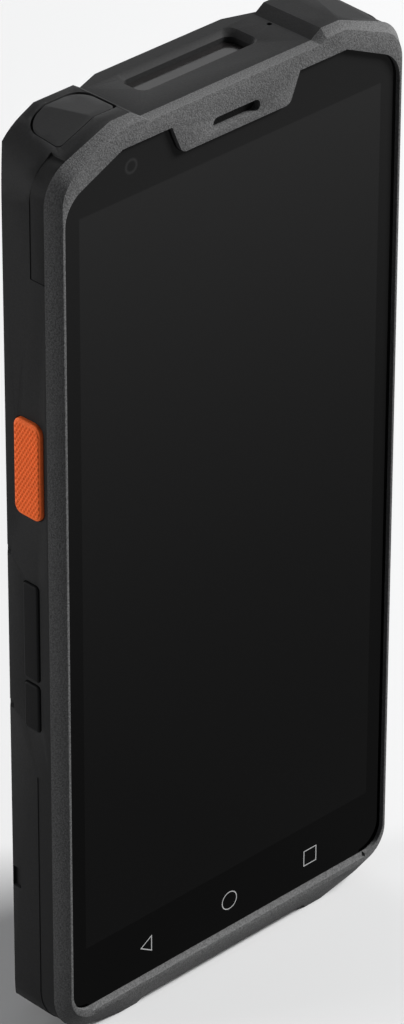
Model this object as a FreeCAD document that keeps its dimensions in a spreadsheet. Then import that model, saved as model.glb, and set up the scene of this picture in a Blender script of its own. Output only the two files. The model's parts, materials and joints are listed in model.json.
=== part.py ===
import FreeCAD, Part
import math
import os
import re
import Sketcher

# Portable barcode data terminal, standing upright: X across, Y from front to back, Z along its length.
# The origin is the middle of the base. All sizes are in millimetres.

# Driving dimensions, each one a cell of the spreadsheet
SIZES = {
    # Outer body
    "body_length": 159.2,
    "body_width": 73.6,
    "body_depth": 14.2,
    "wall": 2.0,
    "skirt_depth": 2.2,
    "top_corner_radius": 6.5,
    "rear_top_radius": 12.0,
    "bottom_corner_radius": 8.5,
    "front_corner_width": 13.3,
    "front_corner_drop": 5.0,
    "rear_corner_width": 9.3,
    "rear_corner_drop": 4.4,
    "rear_bevel": 3.0,
    "foot_bevel": 4.2,
    "foot_bevel_rise": 2.0,
    "foot_break": 22.5,
    "foot_rise": 2.7,
    "top_dip_depth": 1.3,
    "top_dip_half_width": 17.6,
    "top_dip_ramp": 2.0,
    "foot_dip_depth": 1.1,
    "foot_dip_half_width": 18.0,
    "foot_dip_ramp": 1.0,
    "face_overrun": 1.0,
    # Raised back over the scan engine
    "bump_height": 2.4,
    "bump_half_width": 19.4,
    "bump_crest_half_width": 13.0,
    "bump_length": 38.0,
    "bump_ramp": 5.0,
    "bump_top_bevel": 0.1,
    # Front frame
    "crest_inset": 1.7,
    "crest_drop": 0.6,
    "crest_foot": 4.6,
    "crest_foot_radius": 5.2,
    "lip_rise": 0.7,
    "tongue_depth": 1.7,
    "tongue_gap": 0.1,
    "glass_gap": 0.1,
    # Cover glass and display
    "glass_inset": 2.25,
    "glass_head": 4.1,
    "glass_foot": 6.3,
    "glass_thickness": 1.1,
    "glass_top_radius": 5.5,
    "glass_bottom_radius": 4.0,
    "glass_corner_width": 11.45,
    "glass_corner_drop": 5.15,
    "notch_half_width": 13.3,
    "notch_foot_half_width": 11.2,
    "notch_depth": 4.9,
    "notch_radius": 1.5,
    "adhesive_thickness": 0.2,
    "adhesive_margin": 0.3,
    "panel_inset": 2.15,
    "panel_foot": 14.6,
    "panel_head": 7.1,
    "panel_thickness": 1.8,
    "panel_side_gap": 0.5,
    "panel_end_gap": 0.7,
    "opening_corner": 1.0,
    "display_flex_half_width": 10.0,
    "display_flex_rise": 4.4,
    "flex_thickness": 0.15,
    "display_flex_start": 2.4,
    "display_flex_gap": 0.35,
    "display_flex_drop": 0.4,
    "display_plug_half_width": 6.0,
    "plug_length": 3.0,
    # Earpiece in the tab of the front frame
    "earpiece_drop": 5.3,
    "earpiece_slot_length": 9.7,
    "earpiece_slot_width": 2.0,
    "earpiece_slot_corner": 0.98,
    "earpiece_cover": 1.3,
    "receiver_length": 12.0,
    "receiver_width": 4.0,
    "receiver_gap": 0.2,
    "receiver_thickness": 2.0,
    "mesh_thickness": 0.2,
    "mesh_margin": 0.5,
    # Front camera under the glass
    "selfie_inset": 13.75,
    "selfie_drop": 6.5,
    "selfie_radius": 2.6,
    "selfie_base_width": 6.0,
    "selfie_base_height": 3.6,
    "selfie_base_thickness": 0.9,
    # Midframe that carries the boards
    "chassis_thickness": 0.8,
    "chassis_inset": 0.6,
    "chassis_foot": 3.6,
    "chassis_drop": 5.7,
    "chassis_radius": 3.5,
    "board_standoff": 0.9,
    "board_thickness": 0.8,
    "mount_gap": 0.1,
    # Screws
    "screw_radius": 0.8,
    "screw_fit": 0.05,
    "screw_head_radius": 1.5,
    "screw_head_height": 1.0,
    "screw_head_sink": 2.0,
    "screw_drive_share": 0.45,
    "screw_hole_radius": 0.95,
    "post_radius": 2.2,
    "boss_length": 1.9,
    "upper_screw_inset": 3.2,
    "upper_screw_drop": 11.9,
    "lower_screw_inset": 3.8,
    "lower_screw_height": 8.2,
    "small_screw_radius": 0.6,
    "small_head_radius": 1.2,
    "small_head_height": 0.5,
    "small_boss_radius": 1.5,
    "board_screw_inset": 2.0,
    "board_screw_rise": 3.6,
    "board_screw_drop": 3.6,
    "foot_board_screw_inset": 2.7,
    "foot_board_screw_drop": 3.0,
    "upper_frame_screw_inset": 4.4,
    "upper_frame_screw_drop": 1.5,
    "lower_frame_screw_inset": 4.2,
    "lower_frame_screw_height": 9.0,
    "frame_screw_depth": 1.2,
    # Seal in the parting face
    "seal_inset": 0.95,
    "seal_width": 0.7,
    "seal_depth": 0.3,
    # Side bands and small cuts in the rear housing
    "band_recess": 0.15,
    "band_depth": 3.1,
    "upper_band_drop": 22.2,
    "upper_band_end": 32.3,
    "lower_band_end": 50.0,
    "lower_band_width": 9.8,
    "strap_recess_height": 29.0,
    "strap_recess_length": 3.6,
    "strap_recess_depth": 0.6,
    "strap_recess_width": 1.8,
    "nick_height": 88.6,
    "nick_spacing": 27.6,
    "nick_length": 1.4,
    "nick_depth": 0.8,
    # Cavity behind the boards
    "floor_depth": 11.2,
    "upper_floor_depth": 12.7,
    "bump_floor": 1.5,
    "upper_cavity_inset": 2.4,
    "bump_cavity_half_width": 12.6,
    # Battery, its bay and its cover
    "battery_inset": 4.0,
    "battery_head": 2.3,
    "battery_thickness": 5.9,
    "battery_cover_gap": 0.4,
    "battery_foot": 24.4,
    "battery_edge_radius": 1.2,
    "bay_gap": 0.2,
    "bay_wall": 0.8,
    "bay_floor": 0.8,
    "cover_thickness": 1.4,
    "cover_side_margin": 0.8,
    "cover_foot_margin": 10.4,
    "cover_head_margin": 9.4,
    "cover_radius": 4.0,
    "cover_gap": 0.1,
    "tab_length": 7.0,
    "tab_width": 0.9,
    "tab_depth": 1.1,
    "tab_spacing": 44.0,
    "tab_inset": 1.3,
    # Battery contacts and the coil on the cover
    "contact_left": -14.0,
    "contact_right": -2.0,
    "contact_height": 3.0,
    "contact_gap": 0.3,
    "contact_reach": 5.6,
    "coil_half_width": 20.0,
    "coil_half_height": 23.0,
    "coil_track": 5.0,
    "coil_thickness": 0.25,
    # Boards and what they carry
    "board_inset": 0.5,
    "board_foot_drop": 52.0,
    "board_shoulder_drop": 19.3,
    "board_neck_inset": 4.3,
    "board_top_drop": 8.9,
    "foot_board_inset": 6.6,
    "foot_board_foot": 3.6,
    "foot_board_top": 22.6,
    "board_radius": 1.0,
    "shield_height": 1.8,
    "shield_wall": 0.2,
    "processor_left": -18.0,
    "processor_width": 25.0,
    "processor_rise": 4.4,
    "processor_length": 15.6,
    "radio_inset": 25.3,
    "radio_width": 17.5,
    "radio_drop": 1.0,
    "radio_length": 13.0,
    "card_inset": 24.8,
    "card_width": 15.0,
    "card_rise": 1.6,
    "card_length": 14.0,
    "card_height": 1.5,
    "chip_gap": 0.1,
    "link_left": 14.0,
    "link_right": 21.0,
    "link_foot": 12.0,
    "link_reach": 5.1,
    # Scan engine and its window
    "scan_depth": 10.25,
    "window_half_length": 11.3,
    "window_half_width": 2.95,
    "window_corner_radius": 1.6,
    "window_sink": 1.7,
    "window_thickness": 1.0,
    "window_gap": 0.1,
    "window_seal_height": 0.3,
    "window_ledge": 1.1,
    "window_ledge_height": 0.7,
    "window_boss_wall": 1.1,
    "window_bevel": 0.9,
    "engine_half_length": 10.8,
    "engine_depth": 6.8,
    "engine_length": 12.0,
    "engine_gap": 0.5,
    "engine_lens_radius": 2.4,
    "engine_lens_offset": 3.6,
    "engine_lens_length": 3.0,
    "engine_lens_rise": 0.3,
    "engine_lamp_offset": 5.6,
    "engine_lamp_length": 6.4,
    "engine_lamp_width": 3.6,
    "engine_lamp_depth": 1.6,
    "bracket_thickness": 0.35,
    "bracket_margin": 1.6,
    "bracket_foot": 1.0,
    "scan_flex_length": 3.8,
    "scan_plug_height": 1.1,
    # Top microphone
    "top_mic_offset": 16.9,
    "top_mic_depth": 10.3,
    "mic_hole_radius": 0.45,
    "mic_length": 2.7,
    "mic_width": 1.6,
    "mic_height": 0.9,
    # Headphone socket and its rubber cover
    "jack_inset": 11.9,
    "jack_depth": 7.8,
    "jack_bore_radius": 1.8,
    "jack_bore_length": 13.6,
    "jack_body_width": 6.4,
    "jack_body_depth": 5.6,
    "jack_body_length": 14.2,
    "jack_well_radius": 2.6,
    "jack_boss_drop": 5.5,
    "jack_boss_half_width": 4.9,
    "flap_outer_reach": 6.3,
    "flap_inner_reach": 4.9,
    "flap_front": 4.9,
    "flap_back": 12.3,
    "flap_round": 3.2,
    "flap_corner": 0.8,
    "flap_thickness": 1.2,
    "flap_gap": 0.15,
    "stem_radius": 2.0,
    "stem_length": 1.9,
    "nail_gap": 0.5,
    "nail_depth": 0.9,
    # Side keys
    "key_depth": 5.95,
    "key_gap": 0.15,
    "key_flange": 0.6,
    "key_flange_margin": 0.4,
    "key_flange_end": 0.25,
    "key_seat_gap": 0.1,
    "key_nib_radius": 0.7,
    "key_nib_length": 0.3,
    "key_switch_gap": 0.55,
    "key_edge_radius": 0.35,
    "key_corner_radius": 0.6,
    "scan_key_width": 5.8,
    "scan_key_length": 16.5,
    "scan_key_drop": 53.2,
    "scan_key_proud": 0.6,
    "scan_key_corner": 1.5,
    "small_key_width": 3.2,
    "small_key_proud": 0.4,
    "volume_key_length": 17.0,
    "volume_key_drop": 28.6,
    "rocker_gap": 0.35,
    "rocker_rib_gap": 0.05,
    "rocker_rib_width": 1.0,
    "rocker_switch_gap": 0.2,
    "rocker_nib_spacing": 11.0,
    "function_key_length": 8.2,
    "key_spacing": 0.8,
    "power_key_length": 12.0,
    "power_key_drop": 26.7,
    "dome_radius": 1.7,
    "dome_top_radius": 0.9,
    "dome_height": 0.25,
    "key_board_thickness": 1.2,
    "key_board_half_width": 2.0,
    "key_zone_foot_margin": 4.1,
    "key_zone_head_margin": 3.05,
    "key_zone_skin": 0.4,
    "key_zone_sink": 0.4,
    # Rear camera and its lamp
    "camera_offset": 5.5,
    "camera_drop": 26.4,
    "camera_base": 8.4,
    "camera_base_height": 5.8,
    "camera_barrel_radius": 3.0,
    "camera_ring_radius": 5.2,
    "camera_ring_width": 1.1,
    "camera_ring_thickness": 0.8,
    "camera_window_thickness": 0.6,
    "camera_hole_radius": 3.4,
    "flash_offset": 6.0,
    "flash_radius": 2.0,
    "flash_flange": 0.6,
    "flash_stem_radius": 1.2,
    "flash_lamp_width": 2.6,
    "flash_lamp_height": 0.7,
    # Bottom end
    "port_depth": 8.0,
    "usb_width": 8.94,
    "usb_height": 3.2,
    "usb_length": 7.4,
    "usb_wall": 0.3,
    "usb_tongue_width": 6.7,
    "usb_tongue_height": 0.7,
    "usb_tongue_gap": 0.6,
    "usb_back": 1.2,
    "usb_sink": 0.5,
    "usb_gap": 0.12,
    "usb_corner": 1.2,
    "speaker_offset": 13.0,
    "speaker_length": 14.5,
    "speaker_height": 4.4,
    "speaker_reach": 16.5,
    "speaker_hole_radius": 0.6,
    "speaker_hole_pitch": 1.9,
    "speaker_slot_length": 9.0,
    "speaker_horn_depth": 1.5,
    "foot_mic_offset": 9.6,
    "motor_offset": 18.0,
    "motor_height": 11.4,
    "motor_radius": 5.0,
    "motor_thickness": 3.0,
    # Antennas
    "antenna_thickness": 1.1,
    "antenna_width": 12.0,
    "antenna_inset": 2.8,
    "antenna_half_height": 9.5,
    "foot_antenna_width": 16.0,
    "foot_antenna_inset": 0.2,
    "foot_antenna_top": 9.0,
}

SPEAKER_HOLES = 5

# Places worked out from the sizes: y grows from the front face to the back, z from the base up
PLACES = {
    "front": "-(body_depth + bump_height) / 2",
    "half_width": "body_width / 2",
    "front_corner_break": "half_width - front_corner_width",
    "front_corner_height": "body_length - front_corner_drop",
    "rear_corner_break": "half_width - rear_corner_width",
    "rear_corner_height": "body_length - rear_corner_drop",
    "front_slope": "front_corner_drop / front_corner_width",
    "rear_slope": "rear_corner_drop / rear_corner_width",
    "parting_y": "front + skirt_depth",
    "tongue_y": "parting_y + tongue_depth",
    "rear_y": "front + body_depth",
    "crest_y": "rear_y + bump_height",
    "top_z": "body_length - top_dip_depth",
    "earpiece_height": "top_z - earpiece_drop",
    "selfie_height": "top_z - selfie_drop",
    "selfie_offset": "half_width - glass_inset - selfie_inset",
    "camera_height": "top_z - camera_drop",
    "chassis_top": "top_z - chassis_drop",
    "inner_half": "half_width - wall",
    "radio_left": "inner_half - radio_inset",
    "card_left": "inner_half - card_inset",
    "board_foot": "top_z - board_foot_drop",
    "board_shoulder": "top_z - board_shoulder_drop",
    "board_top": "top_z - board_top_drop",
    "upper_screw_offset": "inner_half - upper_screw_inset",
    "upper_screw_height": "top_z - upper_screw_drop",
    "lower_screw_offset": "inner_half - lower_screw_inset",
    "foot_board_half_width": "inner_half - foot_board_inset",
    "foot_board_screw_offset": "foot_board_half_width - foot_board_screw_inset",
    "foot_board_screw_height": "foot_board_top - foot_board_screw_drop",
    "upper_frame_screw_offset": "inner_half - upper_frame_screw_inset",
    "upper_frame_screw_height": "chassis_top - upper_frame_screw_drop",
    "lower_frame_screw_offset": "foot_board_half_width - lower_frame_screw_inset",
    "link_top": "board_foot + link_reach",
    "upper_band_start": "body_length - upper_band_drop",
    "lower_band_reach": "half_width - lower_band_width",
    "jack_offset": "half_width - jack_inset",
    "jack_boss_foot": "body_length - jack_boss_drop",
    "flap_outer": "jack_offset + flap_outer_reach",
    "flap_inner": "jack_offset - flap_inner_reach",
    "board_neck_half_width": "jack_offset - board_neck_inset",
    "antenna_far": "inner_half - antenna_inset",
    "antenna_near": "antenna_far - antenna_width",
    "foot_antenna_far": "foot_board_half_width - foot_antenna_inset",
    "foot_antenna_near": "foot_antenna_far - foot_antenna_width",
    "ceiling_z": "top_z - wall",
    "foot_z": "foot_dip_depth + wall",
    "bump_foot": "top_z - bump_length",
    "glass_y": "front + lip_rise",
    "glass_back_y": "glass_y + glass_thickness",
    "shelf_y": "glass_back_y + adhesive_thickness",
    "glass_half": "half_width - glass_inset",
    "glass_top": "body_length - glass_head",
    "glass_slope": "glass_corner_drop / glass_corner_width",
    "glass_corner_break": "glass_half - glass_corner_width",
    "panel_top": "glass_top - panel_head",
    "panel_half": "glass_half - panel_inset",
    "panel_back_y": "glass_back_y + panel_thickness",
    "opening_half": "panel_half + panel_side_gap",
    "opening_foot": "panel_foot - panel_end_gap",
    "opening_top": "panel_top + panel_end_gap + panel_side_gap",
    "chassis_y": "tongue_y + chassis_thickness",
    "board_y": "chassis_y + board_standoff",
    "board_back_y": "board_y + board_thickness",
    "floor_y": "front + floor_depth",
    "upper_floor_y": "front + upper_floor_depth",
    "bump_floor_y": "crest_y - bump_floor",
    "boss_y": "chassis_y + boss_length",
    "seat_y": "rear_y - cover_thickness",
    "battery_half": "inner_half - battery_inset",
    "battery_y": "seat_y - battery_cover_gap - battery_thickness",
    "battery_top": "board_foot - battery_head",
    "cover_half_width": "battery_half + cover_side_margin",
    "cover_foot": "battery_foot - cover_foot_margin",
    "cover_top": "battery_top + cover_head_margin",
    "contact_top": "battery_top + contact_reach",
    "bay_half": "battery_half + bay_gap",
    "bay_y": "battery_y - mount_gap",
    "bay_foot": "battery_foot - bay_gap",
    "bay_top": "battery_top + bay_gap",
    "tub_half": "bay_half + bay_wall",
    "board_half_width": "tub_half - board_inset",
    "board_screw_offset": "board_half_width - board_screw_inset",
    "board_screw_low": "board_foot + board_screw_rise",
    "board_screw_high": "board_shoulder - board_screw_drop",
    "tub_y": "bay_y - bay_floor",
    "key_y": "front + key_depth",
    "scan_key_height": "top_z - scan_key_drop",
    "volume_key_height": "scan_key_height - volume_key_drop",
    "function_key_height": "volume_key_height - (volume_key_length + function_key_length) / 2 - key_spacing",
    "power_key_height": "scan_key_height - power_key_drop",
    "key_zone_foot": "function_key_height - function_key_length / 2 - key_zone_foot_margin",
    "key_zone_top": "scan_key_height + scan_key_length / 2 + key_zone_head_margin",
    "flange_in": "inner_half - key_seat_gap - key_flange",
    "nib_in": "flange_in - key_nib_length",
    "dome_out": "nib_in - key_switch_gap",
    "dome_in": "dome_out - dome_height",
    "key_board_in": "dome_in - key_board_thickness",
    "key_zone_y": "parting_y + key_zone_skin",
    "scan_y": "front + scan_depth",
    "window_z": "top_z - window_sink",
    "window_foot": "window_z - window_thickness",
    "window_seat": "window_foot - window_seal_height",
    "window_ledge_z": "window_seat - window_ledge_height",
    "engine_top": "window_ledge_z - engine_gap",
    "engine_foot": "engine_top - engine_length",
    "scan_plug_foot": "engine_foot - scan_flex_length",
    "engine_y": "board_back_y + bracket_thickness + chip_gap",
    "scan_flex_y": "board_back_y + scan_plug_height",
    "jack_y": "front + jack_depth",
    "jack_top": "jack_boss_foot",
    "jack_foot": "jack_top - jack_body_length",
    "port_y": "front + port_depth",
    "camera_barrel_y": "bump_floor_y - mount_gap * 2",
    "camera_ring_y": "crest_y - mount_gap",
}

doc = FreeCAD.newDocument("DataTerminal")
sheet = doc.addObject("Spreadsheet::Sheet", "Sizes")
places = doc.addObject("App::VarSet", "Places")
nodes = []


def formula(text):
    """Spell out every named size and place with the object that holds it."""

    def spell(match):
        word = match.group(0)
        if word in SIZES:
            return "Sizes." + word
        if word in PLACES:
            return "Places." + word
        return word

    return re.sub(r"[a-z][a-z_]*", spell, str(text))


def bind(thing, prop, text):
    thing.setExpression(prop, formula(text))


def value(text):
    return float(sheet.evalExpression(formula(text)))


def fill_sheet():
    for row, (name, size) in enumerate(SIZES.items(), start=1):
        sheet.set("A%d" % row, name)
        sheet.set("B%d" % row, str(size))
        sheet.setAlias("B%d" % row, name)
    doc.recompute()
    for name, text in PLACES.items():
        places.addProperty("App::PropertyFloat", name)
        bind(places, name, text)
    doc.recompute()


# Sketches

PLANES = {"front": ("XZ_Plane", -1), "top": ("XY_Plane", 1), "side": ("YZ_Plane", 1)}


def fix(sketch, kind, geometry, text):
    number = sketch.addConstraint(Sketcher.Constraint(kind, *geometry, value(text)))
    bind(sketch, "Constraints[%d]" % number, text)


def add_circle(sketch, u, v, radius):
    centre = FreeCAD.Vector(value(u), value(v), 0)
    circle = sketch.addGeometry(Part.Circle(centre, FreeCAD.Vector(0, 0, 1), value(radius)), False)
    fix(sketch, "DistanceX", (-1, 1, circle, 3), u)
    fix(sketch, "DistanceY", (-1, 1, circle, 3), v)
    fix(sketch, "Radius", (circle,), radius)


def add_outline(sketch, corners):
    """Draw a closed outline through corners given anticlockwise as (u, v) or (u, v, radius).

    A rounded corner has an arc tangent to both its sides, which point at the corner itself.
    """
    count = len(corners)
    points = [FreeCAD.Vector(value(corner[0]), value(corner[1]), 0) for corner in corners]
    arrive, leave, arcs = [], [], []
    for index, corner in enumerate(corners):
        point = points[index]
        back = (points[index - 1] - point).normalize()
        ahead = (points[(index + 1) % count] - point).normalize()
        radius = value(corner[2]) if len(corner) > 2 else 0.0
        half_angle = back.getAngle(ahead) / 2
        reach = radius / math.tan(half_angle)
        arrive.append(point + back * reach)
        leave.append(point + ahead * reach)
        arcs.append(None)
        if radius > 0:
            centre = point + (back + ahead).normalize() * (radius / math.sin(half_angle))
            first, last = arrive[index] - centre, leave[index] - centre
            convex = back.x * ahead.y - back.y * ahead.x < 0
            if not convex:
                first, last = last, first
            circle = Part.Circle(centre, FreeCAD.Vector(0, 0, 1), radius)
            arc = Part.ArcOfCircle(circle, math.atan2(first.y, first.x), math.atan2(last.y, last.x))
            arcs[index] = (sketch.addGeometry(arc, False), convex)
    sides = []
    for index in range(count):
        side = Part.LineSegment(leave[index], arrive[(index + 1) % count])
        sides.append(sketch.addGeometry(side, False))
    for index, corner in enumerate(corners):
        before, after = sides[index - 1], sides[index]
        if arcs[index] is None:
            sketch.addConstraint(Sketcher.Constraint("Coincident", before, 2, after, 1))
            target = (after, 1)
        else:
            arc, convex = arcs[index]
            first, last = (1, 2) if convex else (2, 1)
            sketch.addConstraint(Sketcher.Constraint("Tangent", before, 2, arc, first))
            sketch.addConstraint(Sketcher.Constraint("Tangent", arc, last, after, 1))
            fix(sketch, "Radius", (arc,), corner[2])
            mark = sketch.addGeometry(Part.Point(points[index]), True)
            sketch.addConstraint(Sketcher.Constraint("PointOnObject", mark, 1, before))
            sketch.addConstraint(Sketcher.Constraint("PointOnObject", mark, 1, after))
            target = (mark, 1)
        fix(sketch, "DistanceX", (-1, 1) + target, corner[0])
        fix(sketch, "DistanceY", (-1, 1) + target, corner[1])


def draw(body, plane, offset, outlines):
    """Sketch the outlines on one of the body's own planes, moved along it to the offset."""
    role, sense = PLANES[plane]
    sketch = body.newObject("Sketcher::SketchObject", body.Name + "_sketch")
    support = [item for item in body.Origin.OriginFeatures if item.Role == role]
    sketch.AttachmentSupport = [(support[0], "")]
    sketch.MapMode = "FlatFace"
    bind(sketch, "AttachmentOffset.Base.z", offset if sense > 0 else "-(%s)" % offset)
    for outline in outlines:
        if isinstance(outline, tuple):
            add_circle(sketch, *outline)
        else:
            add_outline(sketch, outline)
    return sketch


# Outlines, each a list of corners or a circle as (u, v, radius)


def symmetric(right):
    """Join the right half of an outline, given from the bottom up, to its mirror image."""
    left = [("-(%s)" % corner[0],) + tuple(corner[1:]) for corner in reversed(right)]
    return list(right) + left


def rectangle(u, v, radius=None):
    corners = [(u[0], v[0]), (u[1], v[0]), (u[1], v[1]), (u[0], v[1])]
    if radius is None:
        return corners
    return [corner + (radius,) for corner in corners]


def around(centre, half):
    return ("%s - (%s)" % (centre, half), "%s + (%s)" % (centre, half))


TOP_RADII = {"front": "top_corner_radius", "rear": "rear_top_radius"}


def shell_outline(inset, end):
    """Outline of the body's front or rear end, moved inwards by the inset."""
    slope = end + "_slope"
    edge = "sqrt(1 + %s ^ 2)" % slope
    half = "half_width - (%s)" % inset
    return symmetric([
        ("foot_break", inset),
        (half, "foot_rise + %s" % inset, "bottom_corner_radius - (%s)" % inset),
        (half, "%s_corner_height - (%s) * (%s - %s)" % (end, inset, edge, slope),
         "%s - (%s)" % (TOP_RADII[end], inset)),
        ("%s_corner_break - (%s) * (%s - 1) / %s" % (end, inset, edge, slope),
         "body_length - (%s)" % inset),
    ])


def inner_outline(inset):
    """Outline inside the body that also stays the inset away from the dips in both ends."""
    edge = "sqrt(1 + front_slope ^ 2)"
    half = "half_width - (%s)" % inset
    return symmetric([
        (half, "foot_dip_depth + %s" % inset, "bottom_corner_radius - (%s)" % inset),
        (half, "front_corner_height - (%s) * (%s - front_slope)" % (inset, edge),
         "top_corner_radius - (%s)" % inset),
        ("front_corner_break + (top_dip_depth + (%s) * (1 - %s)) / front_slope" % (inset, edge),
         "top_z - (%s)" % inset),
    ])


def usb_outline(gap):
    """Mouth of the USB socket, seen from below."""
    return rectangle(around("0", "usb_width / 2 + (%s)" % gap), around("port_y", "usb_height / 2 + (%s)" % gap),
                     "usb_corner + (%s)" % gap)


def crest_outline():
    """Front face of the frame, at the crest of its lip."""
    half = "half_width - crest_inset"
    return symmetric([
        ("foot_break", "crest_foot"),
        (half, "crest_foot", "crest_foot_radius"),
        (half, "front_corner_height - crest_drop", "top_corner_radius - crest_drop"),
        ("front_corner_break - crest_drop", "body_length - crest_drop"),
    ])


def glass_outline(inset):
    """Outline of the cover glass with its notch, moved inwards by the inset."""
    edge = "sqrt(1 + glass_slope ^ 2)"
    half = "glass_half - (%s)" % inset
    return symmetric([
        (half, "glass_foot + (%s)" % inset, "glass_bottom_radius - (%s)" % inset),
        (half, "glass_top - glass_corner_drop - (%s) * (%s - glass_slope)" % (inset, edge),
         "glass_top_radius - (%s)" % inset),
        ("glass_corner_break - (%s) * (%s - 1) / glass_slope" % (inset, edge),
         "glass_top - (%s)" % inset),
        ("notch_half_width + (%s)" % inset, "glass_top - (%s)" % inset),
        ("notch_foot_half_width + (%s)" % inset, "glass_top - notch_depth - (%s)" % inset,
         "notch_radius + (%s)" % inset),
    ])


# Bodies made of sketched features


def new_body(label):
    return doc.addObject("PartDesign::Body", label)


def pad(body, plane, outlines, start, end):
    feature = body.newObject("PartDesign::Pad", body.Name + "_pad")
    feature.Profile = draw(body, plane, start, outlines)
    bind(feature, "Length", "(%s) - (%s)" % (end, start))
    feature.Reversed = PLANES[plane][1] < 0
    doc.recompute()
    return feature


def pocket(body, plane, outlines, start, end):
    """Cut the outlines out of the body from start to end, and make sure that this removes something."""
    full = body.Shape.Volume
    feature = body.newObject("PartDesign::Pocket", body.Name + "_pocket")
    feature.Profile = draw(body, plane, start, outlines)
    bind(feature, "Length", "(%s) - (%s)" % (end, start))
    feature.Reversed = PLANES[plane][1] > 0
    doc.recompute()
    if not body.Shape.Volume < full:
        raise RuntimeError("a pocket in %s removes nothing" % body.Label)
    return feature


def prism(label, plane, outlines, start, end):
    body = new_body(label)
    pad(body, plane, outlines, start, end)
    return body


def loft(body, plane, start, first, end, last):
    """Straight-sided solid between an outline at the start and one at the end."""
    feature = body.newObject("PartDesign::AdditiveLoft", body.Name + "_loft")
    feature.Profile = draw(body, plane, start, [first])
    feature.Sections = [draw(body, plane, end, [last])]
    feature.Ruled = True
    doc.recompute()
    return feature


def round_edges(body, radius, chosen):
    """Round the body's edges that the test picks."""
    base = body.Tip
    names = ["Edge%d" % number for number, edge in enumerate(base.Shape.Edges, start=1) if chosen(edge)]
    feature = body.newObject("PartDesign::Fillet", body.Name + "_fillet")
    feature.Base = (base, names)
    bind(feature, "Radius", radius)
    doc.recompute()
    return feature


# Plain solids and booleans


def box(label, x, y, z):
    solid = doc.addObject("Part::Box", label)
    for size, axis, (low, high) in (("Length", "x", x), ("Width", "y", y), ("Height", "z", z)):
        bind(solid, size, "(%s) - (%s)" % (high, low))
        bind(solid, "Placement.Base." + axis, low)
    return solid


TURNS = {
    "x": FreeCAD.Rotation(FreeCAD.Vector(0, 0, 1), FreeCAD.Vector(1, 0, 0)),
    "y": FreeCAD.Rotation(FreeCAD.Vector(0, 0, 1), FreeCAD.Vector(0, 1, 0)),
    "z": FreeCAD.Rotation(),
}


def stand(solid, direction, centre, start):
    """Turn a round solid to its direction and put its base at the start."""
    solid.Placement = FreeCAD.Placement(FreeCAD.Vector(), TURNS[direction])
    across = [axis for axis in "xyz" if axis != direction]
    for axis, text in zip(across, centre):
        bind(solid, "Placement.Base." + axis, text)
    bind(solid, "Placement.Base." + direction, start)
    return solid


def cylinder(label, direction, centre, radius, start, end):
    """Cylinder along an axis; the centre is its place on the other two axes."""
    solid = doc.addObject("Part::Cylinder", label)
    bind(solid, "Radius", radius)
    bind(solid, "Height", "(%s) - (%s)" % (end, start))
    return stand(solid, direction, centre, start)


def join(label, *parts):
    result = doc.addObject("Part::MultiFuse", label)
    result.Shapes = list(parts)
    return result


def group(label, *parts):
    """Several separate solids kept together as one sub-part."""
    result = doc.addObject("Part::Compound", label)
    result.Links = list(parts)
    return result


def cut(label, base, *tools):
    result = doc.addObject("Part::Cut", label)
    result.Base = base
    result.Tool = tools[0] if len(tools) == 1 else join(label + "_tools", *tools)
    return result


def keep(*parts):
    nodes.extend(parts)


# Front frame, glass and display


def dip_tools(label):
    """Solids that leave the dips in the middle of the top and of the base."""
    depth = ("front - face_overrun", "crest_y + face_overrun")
    top = symmetric([
        ("top_dip_half_width", "top_z"),
        ("top_dip_half_width + top_dip_ramp", "body_length"),
        ("top_dip_half_width + top_dip_ramp", "body_length + face_overrun"),
    ])
    foot = symmetric([
        ("foot_dip_half_width + foot_dip_ramp", "-face_overrun"),
        ("foot_dip_half_width + foot_dip_ramp", "0"),
        ("foot_dip_half_width", "foot_dip_depth"),
    ])
    return [prism(label + "_top_dip", "front", [top], *depth),
            prism(label + "_foot_dip", "front", [foot], *depth)]


def make_front_frame():
    body = new_body("frame_blank")
    loft(body, "front", "front", crest_outline(), "parting_y", shell_outline("0", "front"))
    pad(body, "front", [inner_outline("wall + tongue_gap")], "parting_y", "tongue_y")
    pocket(body, "front", [glass_outline("-glass_gap")], "front", "shelf_y")
    opening = rectangle(("-opening_half", "opening_half"), ("opening_foot", "opening_top"), "opening_corner")
    pocket(body, "front", [opening], "shelf_y", "tongue_y")
    # Sloped inner side of the lip under the glass
    lip = [("front", "glass_foot - glass_gap - lip_rise"), ("front + lip_rise", "glass_foot - glass_gap"),
           ("front", "glass_foot - glass_gap")]
    straight = "glass_half - glass_bottom_radius"
    pocket(body, "side", [lip], "-(%s)" % straight, straight)
    # Earpiece slot, and the chamber of the receiver behind it
    slot = rectangle(around("0", "earpiece_slot_length / 2"),
                     around("earpiece_height", "earpiece_slot_width / 2"), "earpiece_slot_corner")
    pocket(body, "front", [slot], "front", "front + earpiece_cover")
    chamber = rectangle(around("0", "receiver_length / 2 + receiver_gap"),
                        around("earpiece_height + receiver_gap", "receiver_width / 2 + receiver_gap"))
    pocket(body, "front", [chamber], "front + earpiece_cover", "tongue_y")
    pocket(body, "front", [("-selfie_offset", "selfie_height", "selfie_radius + chip_gap")],
           "shelf_y", "tongue_y")
    # Room for the flanges of the side keys
    for side in ("1", "-1"):
        edges = sorted(("%s * (dome_out + key_seat_gap * 2)" % side, "%s * half_width" % side), key=value)
        pocket(body, "front", [rectangle(edges, ("key_zone_foot", "key_zone_top"))],
               "key_zone_y", "tongue_y")
    holes = [cylinder("frame_screw_hole", "y", place, "small_screw_radius + screw_fit",
                      "tongue_y - frame_screw_depth", "tongue_y + face_overrun") for place in frame_screws()]
    keep(cut("front_frame", body, *(dip_tools("frame") + holes)))


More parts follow.
